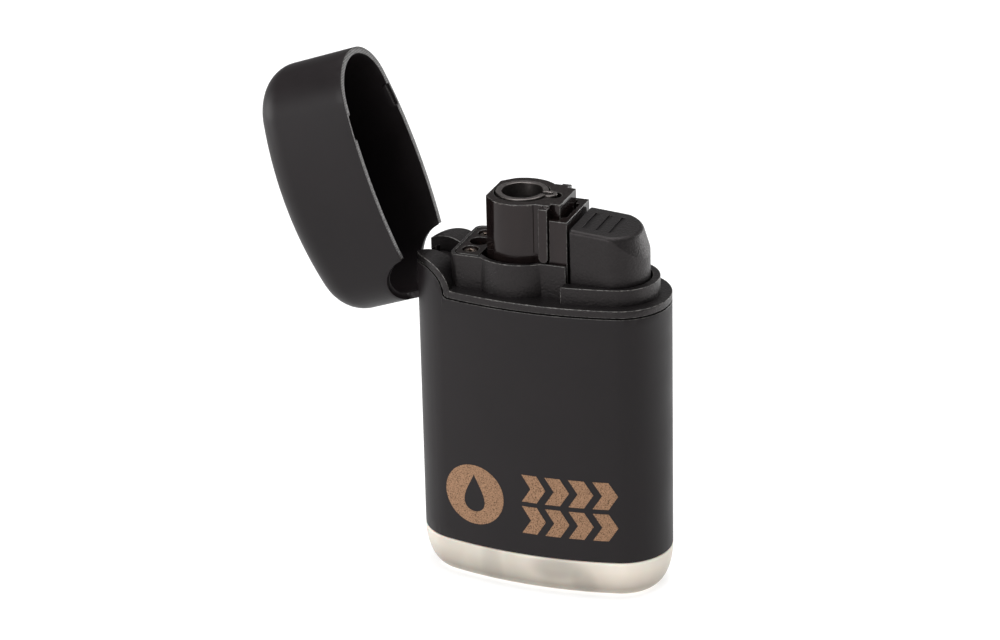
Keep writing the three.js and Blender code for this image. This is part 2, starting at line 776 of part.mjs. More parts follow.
place("piezo_housing", piezoHousing(), matteBlack);
place("piezo_plunger", piezoPlunger(), whitePlastic);
place("return_spring", coil(piezoX, 1.9, 0.16, 27.6, 34.3, 6), steel);
place("piezo_crystal", rod(1.3, 27.7, 31.6, piezoX, 0, 16), ceramic);
place("piezo_anvil", rod(1.3, 31.9, 32.9, piezoX, 0, 16), steel);
place("piezo_hammer", rod(1.35, 34.4, 38.6, piezoX, 0, 16), steel);
place("hammer_spring", coil(piezoX, 1.2, 0.2, 38.8, 46.2, 7), steel);

place("fill_valve_body", fillValveBody(), brass);
place("fill_valve_stem", fillValveStem(), brass);
place("fill_valve_seal", fillValveSeal(), rubber);
place("fill_valve_spring", coil(fillX, 0.85, 0.12, 3.7, 6.8, 5), steel);

export default group;
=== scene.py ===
"""Pocket jet lighter with its flip lid open: the looks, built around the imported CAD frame.

Shapes are drawn in millimetres in the frame's own axes and turned into metres when an object is made.
"""

import json
from contextlib import contextmanager
from math import acos, asin, atan2, cos, degrees, hypot, pi, radians, sin, sqrt, tau

import bmesh
import bpy
from mathutils import Matrix, Vector


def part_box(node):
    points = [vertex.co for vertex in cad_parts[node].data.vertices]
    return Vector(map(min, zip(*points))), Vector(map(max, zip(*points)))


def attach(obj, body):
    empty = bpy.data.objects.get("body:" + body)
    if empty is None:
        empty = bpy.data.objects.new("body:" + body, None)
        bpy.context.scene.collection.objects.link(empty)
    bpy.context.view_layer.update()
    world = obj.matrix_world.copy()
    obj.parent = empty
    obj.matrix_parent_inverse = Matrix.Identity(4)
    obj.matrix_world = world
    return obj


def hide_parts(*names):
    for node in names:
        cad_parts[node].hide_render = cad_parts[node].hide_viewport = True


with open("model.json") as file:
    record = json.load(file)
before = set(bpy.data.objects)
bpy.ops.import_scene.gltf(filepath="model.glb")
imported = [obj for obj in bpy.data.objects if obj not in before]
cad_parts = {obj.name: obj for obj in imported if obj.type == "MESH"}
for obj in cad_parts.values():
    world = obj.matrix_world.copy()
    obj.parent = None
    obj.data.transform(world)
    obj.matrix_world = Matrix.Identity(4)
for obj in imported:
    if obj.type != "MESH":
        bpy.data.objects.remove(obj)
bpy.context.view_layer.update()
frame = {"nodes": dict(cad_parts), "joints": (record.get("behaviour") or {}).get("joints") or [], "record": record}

MM = 0.001


def box_mm(node):
    low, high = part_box(node)
    return low / MM, high / MM


def middle_mm(node, axis):
    low, high = box_mm(node)
    return (low[axis] + high[axis]) / 2


# ---- sizes read from the frame
sleeve_low, sleeve_high = box_mm("outer_sleeve")
tank_high = box_mm("fuel_tank")[1]
frame_high = box_mm("top_frame")[1]
tower_low, tower_high = box_mm("burner_tower")
tube_low, tube_high = box_mm("burner_tube")
bracket_low, bracket_high = box_mm("igniter_bracket")
button_low, button_high = box_mm("push_button")
plate_low, plate_high = box_mm("valve_cover_plate")

HALF_WIDTH = sleeve_high.x
HALF_DEPTH = sleeve_high.y
lid_hinge = next(item for item in frame["joints"] if item["name"] == "lid_hinge")
HINGE_X = lid_hinge["pos_m"][0] / MM
HINGE_Z = lid_hinge["pos_m"][2] / MM
LID_ANGLE = radians(lid_hinge["range_deg"][1])
SCREW_X = middle_mm("cover_screw_front", 0)
SCREW_Y = middle_mm("cover_screw_rear", 1)
ADJUSTER_X = middle_mm("flame_adjuster", 0)
FILL_X = middle_mm("fill_valve_body", 0)

# ---- shape details, in millimetres
END_RADIUS = 7.2
DECK = 43.75
BAND = 1.03
GROOVE = 0.22
SLEEVE_WALL = 0.9
SKIRT_INSET = 1.2
SLEEVE_EAR = 3.2
SLEEVE_EAR_FILLET = 0.7
FRAME_EAR = 4.45
FRAME_EAR_FILLET = 0.3
EAR_CHEEK = 3.0
EAR_GAP = 2.45
SLOT_HALF = EAR_GAP + 0.05
TONGUE_BOTTOM = 39.2
SLOT_BOTTOM = 28.2
STRIP_INSET = 0.1
STRIP_GAP = 0.15
SKIRT_BOTTOM = 34.0
SKIRT_WALL = 1.2
HOLLOW_TOP = 38.6
HOLLOW_RIGHT = 9
FOOT_HEIGHT = 5.85
FOOT_ROUNDING = 2.8
FILL_BORE = 2.35
# Shadows in the foot: x, z, reach along X, reach along Z, amount.
TANK_SHADOWS = ((-5.6, 3.0, 2.0, 9.0, 0.17), (3.9, 4.5, 4.6, 2.5, 0.32), (7.9, 2.2, 2.2, 3.6, 0.17))

LID_TOP = 58.72
LID_RIM = DECK + 0.15
LID_WALL = 0.95
LID_ROOF = 1.1
LID_ROUND_ACROSS = 3.5
LID_ROUND_DOWN = 3.9
LID_CROWN = 1.2
LID_NOTCH = 4.96
NOTCH_CORNER = HINGE_X + sqrt(LID_NOTCH**2 - (LID_RIM - HINGE_Z) ** 2)
RIM_LINE_PITCH = 0.32
KNUCKLE_RADIUS = 2.4
KNUCKLE_HALF = 2.2
PIN_BORE = 1.05

HOUSING_TOP = frame_high.z
HOUSING_BULGE = 6.85
HOUSING_WALL_Y = 5.2
HOUSING_RIGHT = 5.0
BLOCK_LEFT = -11.75
BLOCK_HALF = 5.5
BLOCK_CORNER = 1.2
WELL_RADIUS = 6.15
WELL_LEFT = -7.5
COLLAR_TOP = DECK + 2.35
COLLAR_INSET = 1.6
COLLAR_LEFT = 4.72

TOWER_TOP = tower_high.z
TOWER_RADIUS = 5.15
TOWER_LEFT = -7.15
TOWER_FLAT_HALF = 2.85
RIB_RIGHT = 2.4
RIB_WIDTH = 1.3
RIB_BOTTOM = DECK + 4.8
TAB_HALF = 3.2
TUBE_RADIUS = 3.6
TUBE_BORE = 2.8
LOBE_OFFSET = 4.0
LOBE_RADIUS = 1.0
LOBE_SLOT_HALF = 0.42
NOZZLE_X = tube_low.x + TUBE_RADIUS

BUTTON_LEFT = button_low.x
BUTTON_END = button_high.x
BUTTON_HALF = button_high.y
BUTTON_BASE = 42.0
BUTTON_RISE = button_high.z - DECK
BUTTON_SLOPE = 0.0775
BUTTON_ROUNDING = 0.6
CREASE_X = 15.0
CREASE_RISE = 5.69
CREASE_SLOPE = 0.92
CREASE_LEAN = 0.3
BUTTON_CORNER = 0.3
GRIP_PLACES = (6.6, 8.45, 10.28)
GRIP_LENGTH = 0.9
GRIP_DEPTH = 0.22
GRIP_HALF = 2.75

EMBLEM_Z = 13.8
DISC_X = -7.95
DISC_RADIUS = 4.5
DROP_SIZE = 2.3
CHEVRON_X = -0.7
CHEVRON_PITCH = 3.35
CHEVRON_WIDTH = 2.15
CHEVRON_HEIGHT = 4.1
CHEVRON_SLANT = 1.3
CHEVRON_GAP = 0.35
INK_LIFT = 0.012
INK_SINK = 0.05
PRINT_GRID = 0.5

# Facets of a lofted surface that turn by less than this, in degrees, are joined.
LOFT_FLAT = 0.01

# Cutting tools run past the part to these limits.
BEYOND = 30
ACROSS = 12
ABOVE = 60

# ---- camera: degrees, metres, and the lens in millimetres
CAMERA_AZIMUTH = 21.44
CAMERA_ELEVATION = 23.583
CAMERA_ROLL = -1.366
CAMERA_DISTANCE = 0.4964
CAMERA_LENS = 129.91
CAMERA_TARGET = Vector((-0.006614, 0, 0.037063))

# ---- outline of the case
END_X = HALF_WIDTH - END_RADIUS
SIDE_RADIUS = (END_X**2 + HALF_DEPTH**2 - END_RADIUS**2) / (2 * HALF_DEPTH - 2 * END_RADIUS)
SIDE_Y = SIDE_RADIUS - HALF_DEPTH
END_ANGLE = atan2(SIDE_Y, END_X)
END_STEPS = 26
SIDE_STEPS = 60
ARCS = (
    (END_X, 0, END_RADIUS, 0, END_ANGLE, END_STEPS),
    (0, -SIDE_Y, SIDE_RADIUS, END_ANGLE, pi - END_ANGLE, SIDE_STEPS),
    (-END_X, 0, END_RADIUS, pi - END_ANGLE, pi + END_ANGLE, 2 * END_STEPS),
    (0, SIDE_Y, SIDE_RADIUS, pi + END_ANGLE, tau - END_ANGLE, SIDE_STEPS),
    (END_X, 0, END_RADIUS, -END_ANGLE, 0, END_STEPS),
)
COLUMN_GAP = 0.11


def arc_angles(part, at_x, at_y):
    """Even steps along an arc, with extra places at given x, and at given distances from the X axis."""
    cx, _, radius, start, stop, steps = part
    wanted = []
    for x in at_x:
        if abs(x - cx) < radius:
            base = acos((x - cx) / radius)
            wanted += [base, -base, tau - base]
    if cx < 0:
        wanted += [pi + side * asin(y / radius) for y in at_y for side in (-1, 1)]
    extra = sorted({round(angle, 5) for angle in wanted if start + 1e-3 < angle < stop - 1e-3})
    even = [start + (stop - start) * k / steps for k in range(steps)]
    apart = COLUMN_GAP / radius
    keep = [a for k, a in enumerate(even) if k == 0 or all(abs(a - e) > apart for e in extra)]
    if cx < 0 and all(abs(a - pi) > 1e-6 for a in keep):
        keep.append(pi)
    return sorted(keep + extra)


def outline_columns(at_x=(), at_y=()):
    """Places round the outline, counter-clockwise from +X, as (centre x, centre y, radius, angle)."""
    return [(*part[:3], angle) for part in ARCS for angle in arc_angles(part, at_x, at_y)]


def spot(column, inset=0.0):
    cx, cy, radius, angle = column
    return cx + (radius - inset) * cos(angle), cy + (radius - inset) * sin(angle)


def outline(inset):
    return [spot(column, inset) for column in outline_columns()]


def side_y_at(x, inset):
    """Half depth of the outline at x, on the shallow side arc or the end arc."""
    if abs(x) <= END_X + END_RADIUS * cos(END_ANGLE):
        return sqrt((SIDE_RADIUS - inset) ** 2 - x**2) - SIDE_Y
    return sqrt(max(0.0, (END_RADIUS - inset) ** 2 - (abs(x) - END_X) ** 2))


# ---- the S-curve and ears at the hinge
def ear_places(level, radius, fillet):
    """X of the fillet's level end, and of the point where the fillet meets the round ear."""
    rise = level + fillet - HINGE_Z
    reach = sqrt((radius + fillet) ** 2 - rise**2)
    return HINGE_X + reach, HINGE_X + radius * reach / (radius + fillet)


def ear_height(x, level, radius, fillet):
    fillet_x, meet_x = ear_places(level, radius, fillet)
    if x >= fillet_x:
        return level
    if x > meet_x:
        return level + fillet - sqrt(fillet**2 - (x - fillet_x) ** 2)
    return HINGE_Z + sqrt(max(0.0, radius**2 - (x - HINGE_X) ** 2))


def ear_samples(level, radius, fillet):
    """Places along X that follow the fillet and the round ear closely."""
    fillet_x, meet_x = ear_places(level, radius, fillet)
    fillet_steps, ear_steps, ear_turn = 7, 22, radians(6)
    turns = [k * pi / (2 * fillet_steps) for k in range(fillet_steps + 1)]
    on_fillet = [meet_x + (fillet_x - meet_x) * (1 - cos(turn)) for turn in turns]
    start = acos((meet_x - HINGE_X) / radius)
    on_ear = [HINGE_X + radius * cos(start + k * ear_turn) for k in range(ear_steps)]
    return [x for x in on_fillet + on_ear if x > -HALF_WIDTH + 0.1]


# ---- mesh helpers
def rotation(angle, axis):
    return Matrix.Rotation(radians(angle), 4, axis)


def shift(x, y, z=0.0):
    """A move in millimetres."""
    return Matrix.Translation(Vector((x, y, z)) * MM)


@contextmanager
def edited(mesh):
    """Opens a mesh for editing and writes it back."""
    work = bmesh.new()
    work.from_mesh(mesh)
    yield work
    work.to_mesh(mesh)
    work.free()


def merge_points(mesh, apart):
    """Joins points closer than a distance in metres, and turns the faces outwards."""
    with edited(mesh) as work:
        bmesh.ops.remove_doubles(work, verts=work.verts, dist=apart)
        bmesh.ops.recalc_face_normals(work, faces=work.faces)


def assign(thing, **settings):
    for key, value in settings.items():
        setattr(thing, key, value)
    return thing


def add_object(name, data):
    item = bpy.data.objects.new(name, data)
    bpy.context.scene.collection.objects.link(item)
    return item


def new_object(verts, faces, name="piece"):
    """An object from points in millimetres, with its faces turned outwards."""
    mesh = bpy.data.meshes.new(name)
    mesh.from_pydata([Vector(v) * MM for v in verts], [], faces)
    mesh.validate()
    merge_points(mesh, 1e-7)
    return add_object(name, mesh)


def shell(outside, inside, faces):
    """A closed sheet of material between two surfaces that share the same faces."""
    count = len(outside)
    used = {}
    for face in faces:
        for k, start in enumerate(face):
            edge = (start, face[(k + 1) % len(face)])
            used.setdefault(frozenset(edge), []).append(edge)
    rim = [edges[0] for edges in used.values() if len(edges) == 1]
    back = [tuple(v + count for v in reversed(face)) for face in faces]
    sides = [(b, a, a + count, b + count) for a, b in rim]
    return new_object(outside + inside, faces + back + sides)


def ring_faces(rings, count, closed=False):
    """Faces between rings of points that follow each other, and from the last to the first if closed."""
    faces = []
    for ring in range(rings if closed else rings - 1):
        here = ring * count
        after = (ring + 1) % rings * count
        for k in range(count):
            n = (k + 1) % count
            faces.append((here + k, here + n, after + n, after + k))
    return faces


def column_faces(k, columns, per_column, rows):
    """Faces between an upright column of points and the next one round the outline."""
    here = k * per_column
    after = (k + 1) % len(columns) * per_column
    return [(here + row, after + row, after + row + 1, here + row + 1) for row in rows]


def near_hinge(k, columns, half):
    """Whether a column and the next one are on the left, within half a width of the X axis."""
    ends = [spot(columns[k]), spot(columns[(k + 1) % len(columns)])]
    return all(x < 0 and abs(y) < half + 0.01 for x, y in ends)


def solid_between(first, second):
    """A solid between two flat outlines with the same number of points."""
    count = len(first)
    caps = [tuple(reversed(range(count))), tuple(range(count, 2 * count))]
    return new_object(first + second, ring_faces(2, count) + caps)


def prism(points, z0, z1):
    return solid_between([(x, y, z0) for x, y in points], [(x, y, z1) for x, y in points])


def side_prism(points, half):
    """An outline in X and Z, carried from front to back."""
    return solid_between([(x, -half, z) for x, z in points], [(x, half, z) for x, z in points])


def box(x0, x1, y0, y1, z0, z1):
    return prism([(x0, y0), (x1, y0), (x1, y1), (x0, y1)], z0, z1)


def slab(x0, x1, half=ACROSS, bottom=0):
    """All there is between two places along X, above a height."""
    return box(x0, x1, -half, half, bottom, ABOVE + 1)


def circle(radius, x=0.0, y=0.0, steps=64):
    turns = [tau * k / steps for k in range(steps)]
    return [(x + radius * cos(t), y + radius * sin(t)) for t in turns]


def rod(radius, z0, z1, x=0.0, y=0.0, steps=64):
    return prism(circle(radius, x, y, steps), z0, z1)


def rod_across(radius, half, steps=72):
    """A round bar on the hinge axis."""
    return side_prism([(HINGE_X + px, HINGE_Z + pz) for px, pz in circle(radius, steps=steps)], half)


def arc(x, y, radius, start, stop, steps=12):
    """Points along an arc, angles in degrees."""
    turns = [radians(start + (stop - start) * k / steps) for k in range(steps + 1)]
    return [(x + radius * cos(t), y + radius * sin(t)) for t in turns]


def turned(profile, x, y=0.0, steps=64):
    """A turned piece: (radius, z) points about a vertical axis, closed on the axis or on themselves."""
    verts = []
    for radius, z in profile:
        verts += [(px, py, z) for px, py in circle(max(radius, 1e-4), x, y, steps)]
    on_axis = profile[0][0] == 0
    item = new_object(verts, ring_faces(len(profile), steps, closed=not on_axis))
    merge_points(item.data, 2e-6)
    return item


def combine(item, *steps):
    """Joins, cuts or trims a solid by steps of ("add" | "cut" | "keep", tool). The tools are used up."""
    operations = {"add": "UNION", "cut": "DIFFERENCE", "keep": "INTERSECT"}
    for kind, tool in steps:
        modifier = item.modifiers.new(kind, "BOOLEAN")
        assign(modifier, operation=operations[kind], solver="EXACT", object=tool)
    settle(item)
    for _, tool in steps:
        bpy.data.objects.remove(tool)
    return item


def baked(item):
    """The mesh of an object or curve with its modifiers applied."""
    bpy.context.view_layer.update()
    return bpy.data.meshes.new_from_object(item.evaluated_get(bpy.context.evaluated_depsgraph_get()))


def settle(item):
    mesh = baked(item)
    item.modifiers.clear()
    item.data = mesh


def soften(item, width=0.12, segments=2, angle=35.0, flat=0.4, crease=180.0, edge_look=()):
    """Rounds the outer edges and shades smooth between them, with a hard line at inner corners.

    An edge look names the piece's own material and the one of its rounded edges, which paints a highlight along
    them.
    """
    with edited(item.data) as work:
        bmesh.ops.remove_doubles(work, verts=work.verts, dist=2e-6)
        limit = radians(flat)
        bmesh.ops.dissolve_limit(work, angle_limit=limit, verts=work.verts, edges=work.edges)
        for face in work.faces:
            face.smooth = True
        weight = work.edges.layers.float.new("bevel_weight_edge")
        for edge in work.edges:
            turn = degrees(edge.calc_face_angle(0.0))
            outer = turn > angle and edge.is_convex
            edge[weight] = 1.0 if outer else 0.0
            edge.smooth = outer or turn < min(crease, angle)
    for material_name in edge_look:
        item.data.materials.append(MATERIALS[material_name])
    bevel = item.modifiers.new("edges", "BEVEL")
    assign(bevel, width=width * MM, segments=segments, limit_method="WEIGHT", use_clamp_overlap=False)
    # With an edge look, the rounded edge faces take its second material: a painted highlight.
    assign(bevel, miter_outer="MITER_ARC", material=len(edge_look) - 1)
    assign(item.modifiers.new("normals", "WEIGHTED_NORMAL"), keep_sharp=True)
    split = item.modifiers.new("split", "TRIANGULATE")
    assign(split, min_vertices=5, ngon_method="BEAUTY", keep_custom_normals=True)
    settle(item)


def drop_loose(item):
    """Removes points that no face uses."""
    with edited(item.data) as work:
        loose = [v for v in work.verts if not v.link_faces]
        bmesh.ops.delete(work, geom=loose, context="VERTS")


def finish_piece(item, name, material_name, node=None, body="case"):
    """Names a piece and gives it its look, the body it rides on and the CAD node it stands for."""
    item.name = name
    item.data.name = name
    if not item.data.materials:
        item.data.materials.append(MATERIALS[material_name])
    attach(item, body)
    if node:
        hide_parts(node)


# ---- materials
def fill(node, **values):
    """Sets inputs by name, with _ for a space."""
    for key, value in values.items():
        node.inputs[key.replace("_", " ")].default_value = value


MATERIALS = {}
WARM_GLOSS = (1.0, 0.92, 0.92, 1.0)


class Nodes:
    """A short way to write a procedural material, which goes into MATERIALS under its name."""

    def __init__(self, name):
        self.material = bpy.data.materials.new(name)
        MATERIALS[name] = self.material
        self.material.use_nodes = True
        self.tree = self.material.node_tree
        self.shader = self.tree.nodes["Principled BSDF"]
        self.place = self.tree.nodes.new("ShaderNodeTexCoord").outputs["Object"]

    def new(self, kind, **settings):
        return assign(self.tree.nodes.new(kind), **settings)

    def link(self, source, target):
        self.tree.links.new(source, target)

    def set(self, **values):
        fill(self.shader, **values)

    def stretched(self, scale):
        node = self.new("ShaderNodeMapping")
        fill(node, Scale=scale)
        self.link(self.place, node.inputs["Vector"])
        return node.outputs["Vector"]

    def noise(self, size_mm, detail=3.0, vector=None):
        node = self.new("ShaderNodeTexNoise")
        fill(node, Scale=1 / (size_mm * MM), Detail=detail, Roughness=0.55)
        self.link(vector or self.place, node.inputs["Vector"])
        return node.outputs["Fac"]

    def spread(self, value, low, high, from_low=0.3, from_high=0.7):
        node = self.new("ShaderNodeMapRange", interpolation_type="SMOOTHSTEP")
        fill(node, From_Min=from_low, From_Max=from_high, To_Min=low, To_Max=high)
        self.link(value, node.inputs["Value"])
        return node.outputs["Result"]

    def colours(self, value, *stops):
        node = self.new("ShaderNodeValToRGB")
        ramp = node.color_ramp
        for k, (position, colour) in enumerate(stops):
            stop = ramp.elements[k] if k < 2 else ramp.elements.new(position)
            stop.position = position
            stop.color = (*colour, 1.0)
        self.link(value, node.inputs["Fac"])
        return node.outputs["Color"]

    def along(self, direction, start=0.0):
        """Distance along a direction, in millimetres, from a start."""
        dot = self.new("ShaderNodeVectorMath", operation="DOT_PRODUCT")
        self.link(self.place, dot.inputs[0])
        dot.inputs[1].default_value = [part / MM for part in direction]
        return self.maths("SUBTRACT", dot.outputs["Value"], start)

    def maths(self, operation, first, second=None):
        node = self.new("ShaderNodeMath", operation=operation)
        for socket, value in zip(node.inputs, (first, second)):
            if isinstance(value, (int, float)):
                socket.default_value = value
            elif value is not None:
                self.link(value, socket)
        return node.outputs["Value"]

    def times(self, first, second):
        return self.maths("MULTIPLY", first, second)

    def soft_band(self, distance, reach, amount):
        """1 away from a place, down to 1 - amount at it."""
        return self.spread(self.maths("ABSOLUTE", distance), 1 - amount, 1.0, 0.0, reach)

    def tinted(self, colour, factor):
        node = self.new("ShaderNodeVectorMath", operation="SCALE")
        self.link(colour, node.inputs[0])
        self.link(factor, node.inputs["Scale"])
        return node.outputs["Vector"]

    def bump(self, height, depth_mm, strength):
        node = self.new("ShaderNodeBump")
        fill(node, Distance=depth_mm * MM, Strength=strength)
        self.link(height, node.inputs["Height"])
        return node.outputs["Normal"]

    def drive(self, **links):
        for key, source in links.items():
            self.link(source, self.shader.inputs[key.replace("_", " ")])


def grey(value, warm=0.0):
    return value * (1 + warm), value, value * (1 - warm)


def soft_touch():
    """The rubbery black of the sleeve and the lid."""
    nodes = Nodes("soft_touch_black")
    nodes.set(Specular_IOR_Level=0.21)
    broad = nodes.noise(9.0, 4.0)
    fine = nodes.noise(0.12, 2.0)
    nodes.drive(
        Base_Color=nodes.colours(broad, (0.3, (0.006, 0.0044, 0.0049)), (0.7, (0.008, 0.0058, 0.0065))),
        Roughness=nodes.spread(broad, 0.44, 0.52),
        Normal=nodes.bump(fine, 0.01, 0.35),
    )


def milled_rim():
    """The lid's cut rim: fine lines from front to back."""
    nodes = Nodes("milled_rim")
    nodes.set(Specular_IOR_Level=0.4)
    along_rim = nodes.along((cos(LID_ANGLE), 0, sin(LID_ANGLE)))
    wobble = nodes.times(nodes.noise(0.6, 2.0), 0.12)
    turns = nodes.times(nodes.maths("ADD", along_rim, wobble), tau / RIM_LINE_PITCH)
    height = nodes.spread(nodes.maths("SINE", turns), 0.0, 1.0, -1.0, 1.0)
    nodes.drive(
        Base_Color=nodes.colours(height, (0.0, (0.004, 0.003, 0.003)), (1.0, (0.048, 0.043, 0.041))),
        Roughness=nodes.spread(nodes.noise(0.3), 0.4, 0.55),
        Normal=nodes.bump(height, 0.02, 0.5),
    )


def moulded(name, shade, rough, grain_mm, depth_mm):
    """Black plastic with the even grain of a spark-eroded mould."""
    nodes = Nodes(name)
    nodes.set(Specular_IOR_Level=0.28, Specular_Tint=WARM_GLOSS)
    broad = nodes.noise(4.0, 3.0)
    grain = nodes.noise(grain_mm, 2.5)
    dark = (shade * 0.8, shade * 0.7, shade * 0.73)
    light = (shade * 1.35, shade * 1.2, shade * 1.23)
    nodes.drive(
        Base_Color=nodes.colours(grain, (0.3, dark), (0.7, light)),
        Roughness=nodes.spread(broad, rough - 0.04, rough + 0.04),
        Normal=nodes.bump(grain, depth_mm, 0.8),
    )


def glossy():
    """Glossy black with a painted highlight: pale flecks along the burner's top edge."""
    nodes = Nodes("gloss_black")
    nodes.set(Specular_IOR_Level=0.31, Specular_Tint=WARM_GLOSS)
    streaks = nodes.noise(0.9, 3.0, nodes.stretched((1, 1, 0.15)))
    cloud = nodes.noise(1.8, 3.0)
    black = nodes.colours(streaks, (0.3, (0.0062, 0.0042, 0.0042)), (0.7, (0.0096, 0.0066, 0.0063)))
    # Painted highlight: pale colour mixed in, in flecks, along a band at the tower's top edge.
    at_edge = nodes.soft_band(nodes.along((0, 0, 1), TOWER_TOP - 0.1), 0.12, 1.0)
    highlight_fleck = nodes.spread(nodes.noise(0.16, 1.0), 0.0, 1.0, 0.55, 0.62)
    mix = nodes.new("ShaderNodeMix", data_type="RGBA")
    nodes.link(nodes.times(nodes.maths("SUBTRACT", 1.0, at_edge), highlight_fleck), mix.inputs["Factor"])
    nodes.link(black, mix.inputs[6])
    mix.inputs[7].default_value = (0.22, 0.20, 0.18, 1)
    nodes.drive(
        Base_Color=mix.outputs[2],
        Roughness=nodes.spread(cloud, 0.1, 0.15),
        Normal=nodes.bump(cloud, 0.006, 0.15),
    )


def frosted():
    """Cloudy clear plastic with painted light: painted shadows of the ribs and valve inside, a painted brighter
    right end, and a painted bright lower edge that also glows.
    """
    nodes = Nodes("frosted_clear")
    skin = nodes.noise(0.25, 2.0)
    cloud = nodes.noise(4.0, 1.0, nodes.stretched((1, 1, 0.3)))
    height = nodes.maths("DIVIDE", nodes.along((0, 0, 1)), FOOT_HEIGHT)
    # Colour by height: a painted bright lower edge, darker just above it, lighter towards the top.
    bands = nodes.colours(
        height,
        (0.03, (0.76, 0.70, 0.61)), (0.11, (0.32, 0.285, 0.24)), (0.26, (0.28, 0.25, 0.21)),
        (0.46, (0.40, 0.36, 0.31)), (0.75, (0.53, 0.485, 0.42)), (1.0, (0.58, 0.535, 0.475)),
    )
    # Painted light: the colour grows up to 1.3 times brighter towards the right end.
    painted_light_end = nodes.spread(nodes.along((1, 0, 0)), 1.0, 1.3, 8.0, 14.0)
    shade = nodes.times(nodes.spread(cloud, 0.94, 1.06), painted_light_end)
    # Painted shadows of the parts inside the foot, one soft patch for each row of TANK_SHADOWS.
    for x, z, reach_x, reach_z, amount in TANK_SHADOWS:
        across = nodes.maths("DIVIDE", nodes.along((1, 0, 0), x), reach_x)
        upward = nodes.maths("DIVIDE", nodes.along((0, 0, 1), z), reach_z)
        away = nodes.maths("ADD", nodes.times(across, across), nodes.times(upward, upward))
        shade = nodes.times(shade, nodes.soft_band(away, 1.0, amount))
    # Painted glow: the lower edge gives off light of its own, though it is no lamp.
    painted_glow = nodes.colours(height, (0.0, (1.0, 0.90, 0.78)), (0.08, (0.0, 0.0, 0.0)))
    nodes.link(painted_glow, nodes.shader.inputs["Emission Color"])
    nodes.set(Emission_Strength=0.25, Transmission_Weight=0.1, IOR=1.45)
    nodes.set(Subsurface_Weight=0.3, Subsurface_Scale=0.002)
    nodes.drive(
        Base_Color=nodes.tinted(bands, shade),
        Roughness=nodes.spread(skin, 0.34, 0.44),
        Normal=nodes.bump(skin, 0.008, 0.25),
    )


def painted_edge_highlight(name, dark, light, rough):
    """Painted highlight along a black moulded edge: a lighter, speckled colour in place of the light the edge
    catches.
    """
    nodes = Nodes(name)
    nodes.set(Specular_IOR_Level=0.4)
    highlight_fleck = nodes.noise(0.4, 3.0)
    nodes.drive(
        Base_Color=nodes.colours(highlight_fleck, (0.45, grey(dark, 0.06)), (0.6, grey(light, 0.06))),
        Roughness=nodes.spread(highlight_fleck, rough - 0.05, rough + 0.05),
    )


def metal(name, colour, rough):
    """Metal with fine upright scratches and a light cloudiness."""
    nodes = Nodes(name)
    nodes.set(Metallic=1.0)
    scratch = nodes.noise(0.12, 4.0, nodes.stretched((1, 1, 0.2)))
    cloud = nodes.noise(1.5, 3.0)
    dark = tuple(value * 0.7 for value in colour)
    nodes.drive(
        Base_Color=nodes.colours(cloud, (0.3, dark), (0.7, colour)),
        Roughness=nodes.spread(scratch, rough - 0.08, rough + 0.1),
        Normal=nodes.bump(scratch, 0.006, 0.5),
    )


def plain(name, colour, rough, grain_mm=0.3, depth_mm=0.01):
    """Rubber, white plastic, ceramic and felt: a light mottle and a fine grain."""
    nodes = Nodes(name)
    grain = nodes.noise(grain_mm, 3.0)
    dark = tuple(value * 0.82 for value in colour)
    nodes.drive(
        Base_Color=nodes.colours(grain, (0.3, dark), (0.7, colour)),
        Roughness=nodes.spread(grain, rough - 0.05, rough + 0.05),
        Normal=nodes.bump(grain, depth_mm, 0.6),
    )


def ink():
    """Speckled tan ink."""
    nodes = Nodes("tan_ink")
    nodes.set(Specular_IOR_Level=0.2)
    speck = nodes.noise(0.17, 2.0)
    dark, middle, light = (0.05, 0.027, 0.013), (0.20, 0.112, 0.062), (0.29, 0.165, 0.096)
    nodes.drive(
        Base_Color=nodes.colours(speck, (0.30, dark), (0.46, middle), (0.66, light)),
        Roughness=nodes.spread(speck, 0.55, 0.66),
        Normal=nodes.bump(speck, 0.008, 0.4),
    )


def make_materials():
    soft_touch()
    milled_rim()
    # Painted highlights for rounded edges: the sleeve, deck frame, cover plate, tower and bracket edges get these
    # lighter colours.
    painted_edge_highlight("sleeve_edge_highlight", 0.008, 0.05, 0.35)
    painted_edge_highlight("moulded_edge_highlight", 0.02, 0.1, 0.3)
    painted_edge_highlight("gloss_edge_highlight", 0.02, 0.055, 0.2)
    moulded("matte_black", 0.0052, 0.38, 0.3, 0.1)
    moulded("button_black", 0.006, 0.44, 0.34, 0.09)
    glossy()
    frosted()
    metal("burner_metal", (0.175, 0.158, 0.152), 0.38)
    metal("dark_steel", (0.16, 0.125, 0.105), 0.24)
    metal("steel", (0.55, 0.55, 0.57), 0.3)
    metal("brass", (0.62, 0.44, 0.18), 0.3)
    plain("black_rubber", grey(0.02), 0.7)
    plain("white_plastic", grey(0.72, 0.02), 0.45)
    plain("ceramic", grey(0.76, 0.04), 0.3)
    plain("wick_felt", grey(0.74, 0.03), 0.9, 0.12, 0.05)
    ink()


def dress_frame():
    """Every CAD node gets the material of its slot."""
    for row in frame["record"]["subparts"]:
        item = frame["nodes"][row["node"]]
        item.data.materials.clear()
        item.data.materials.append(MATERIALS[row["material_slot"]])


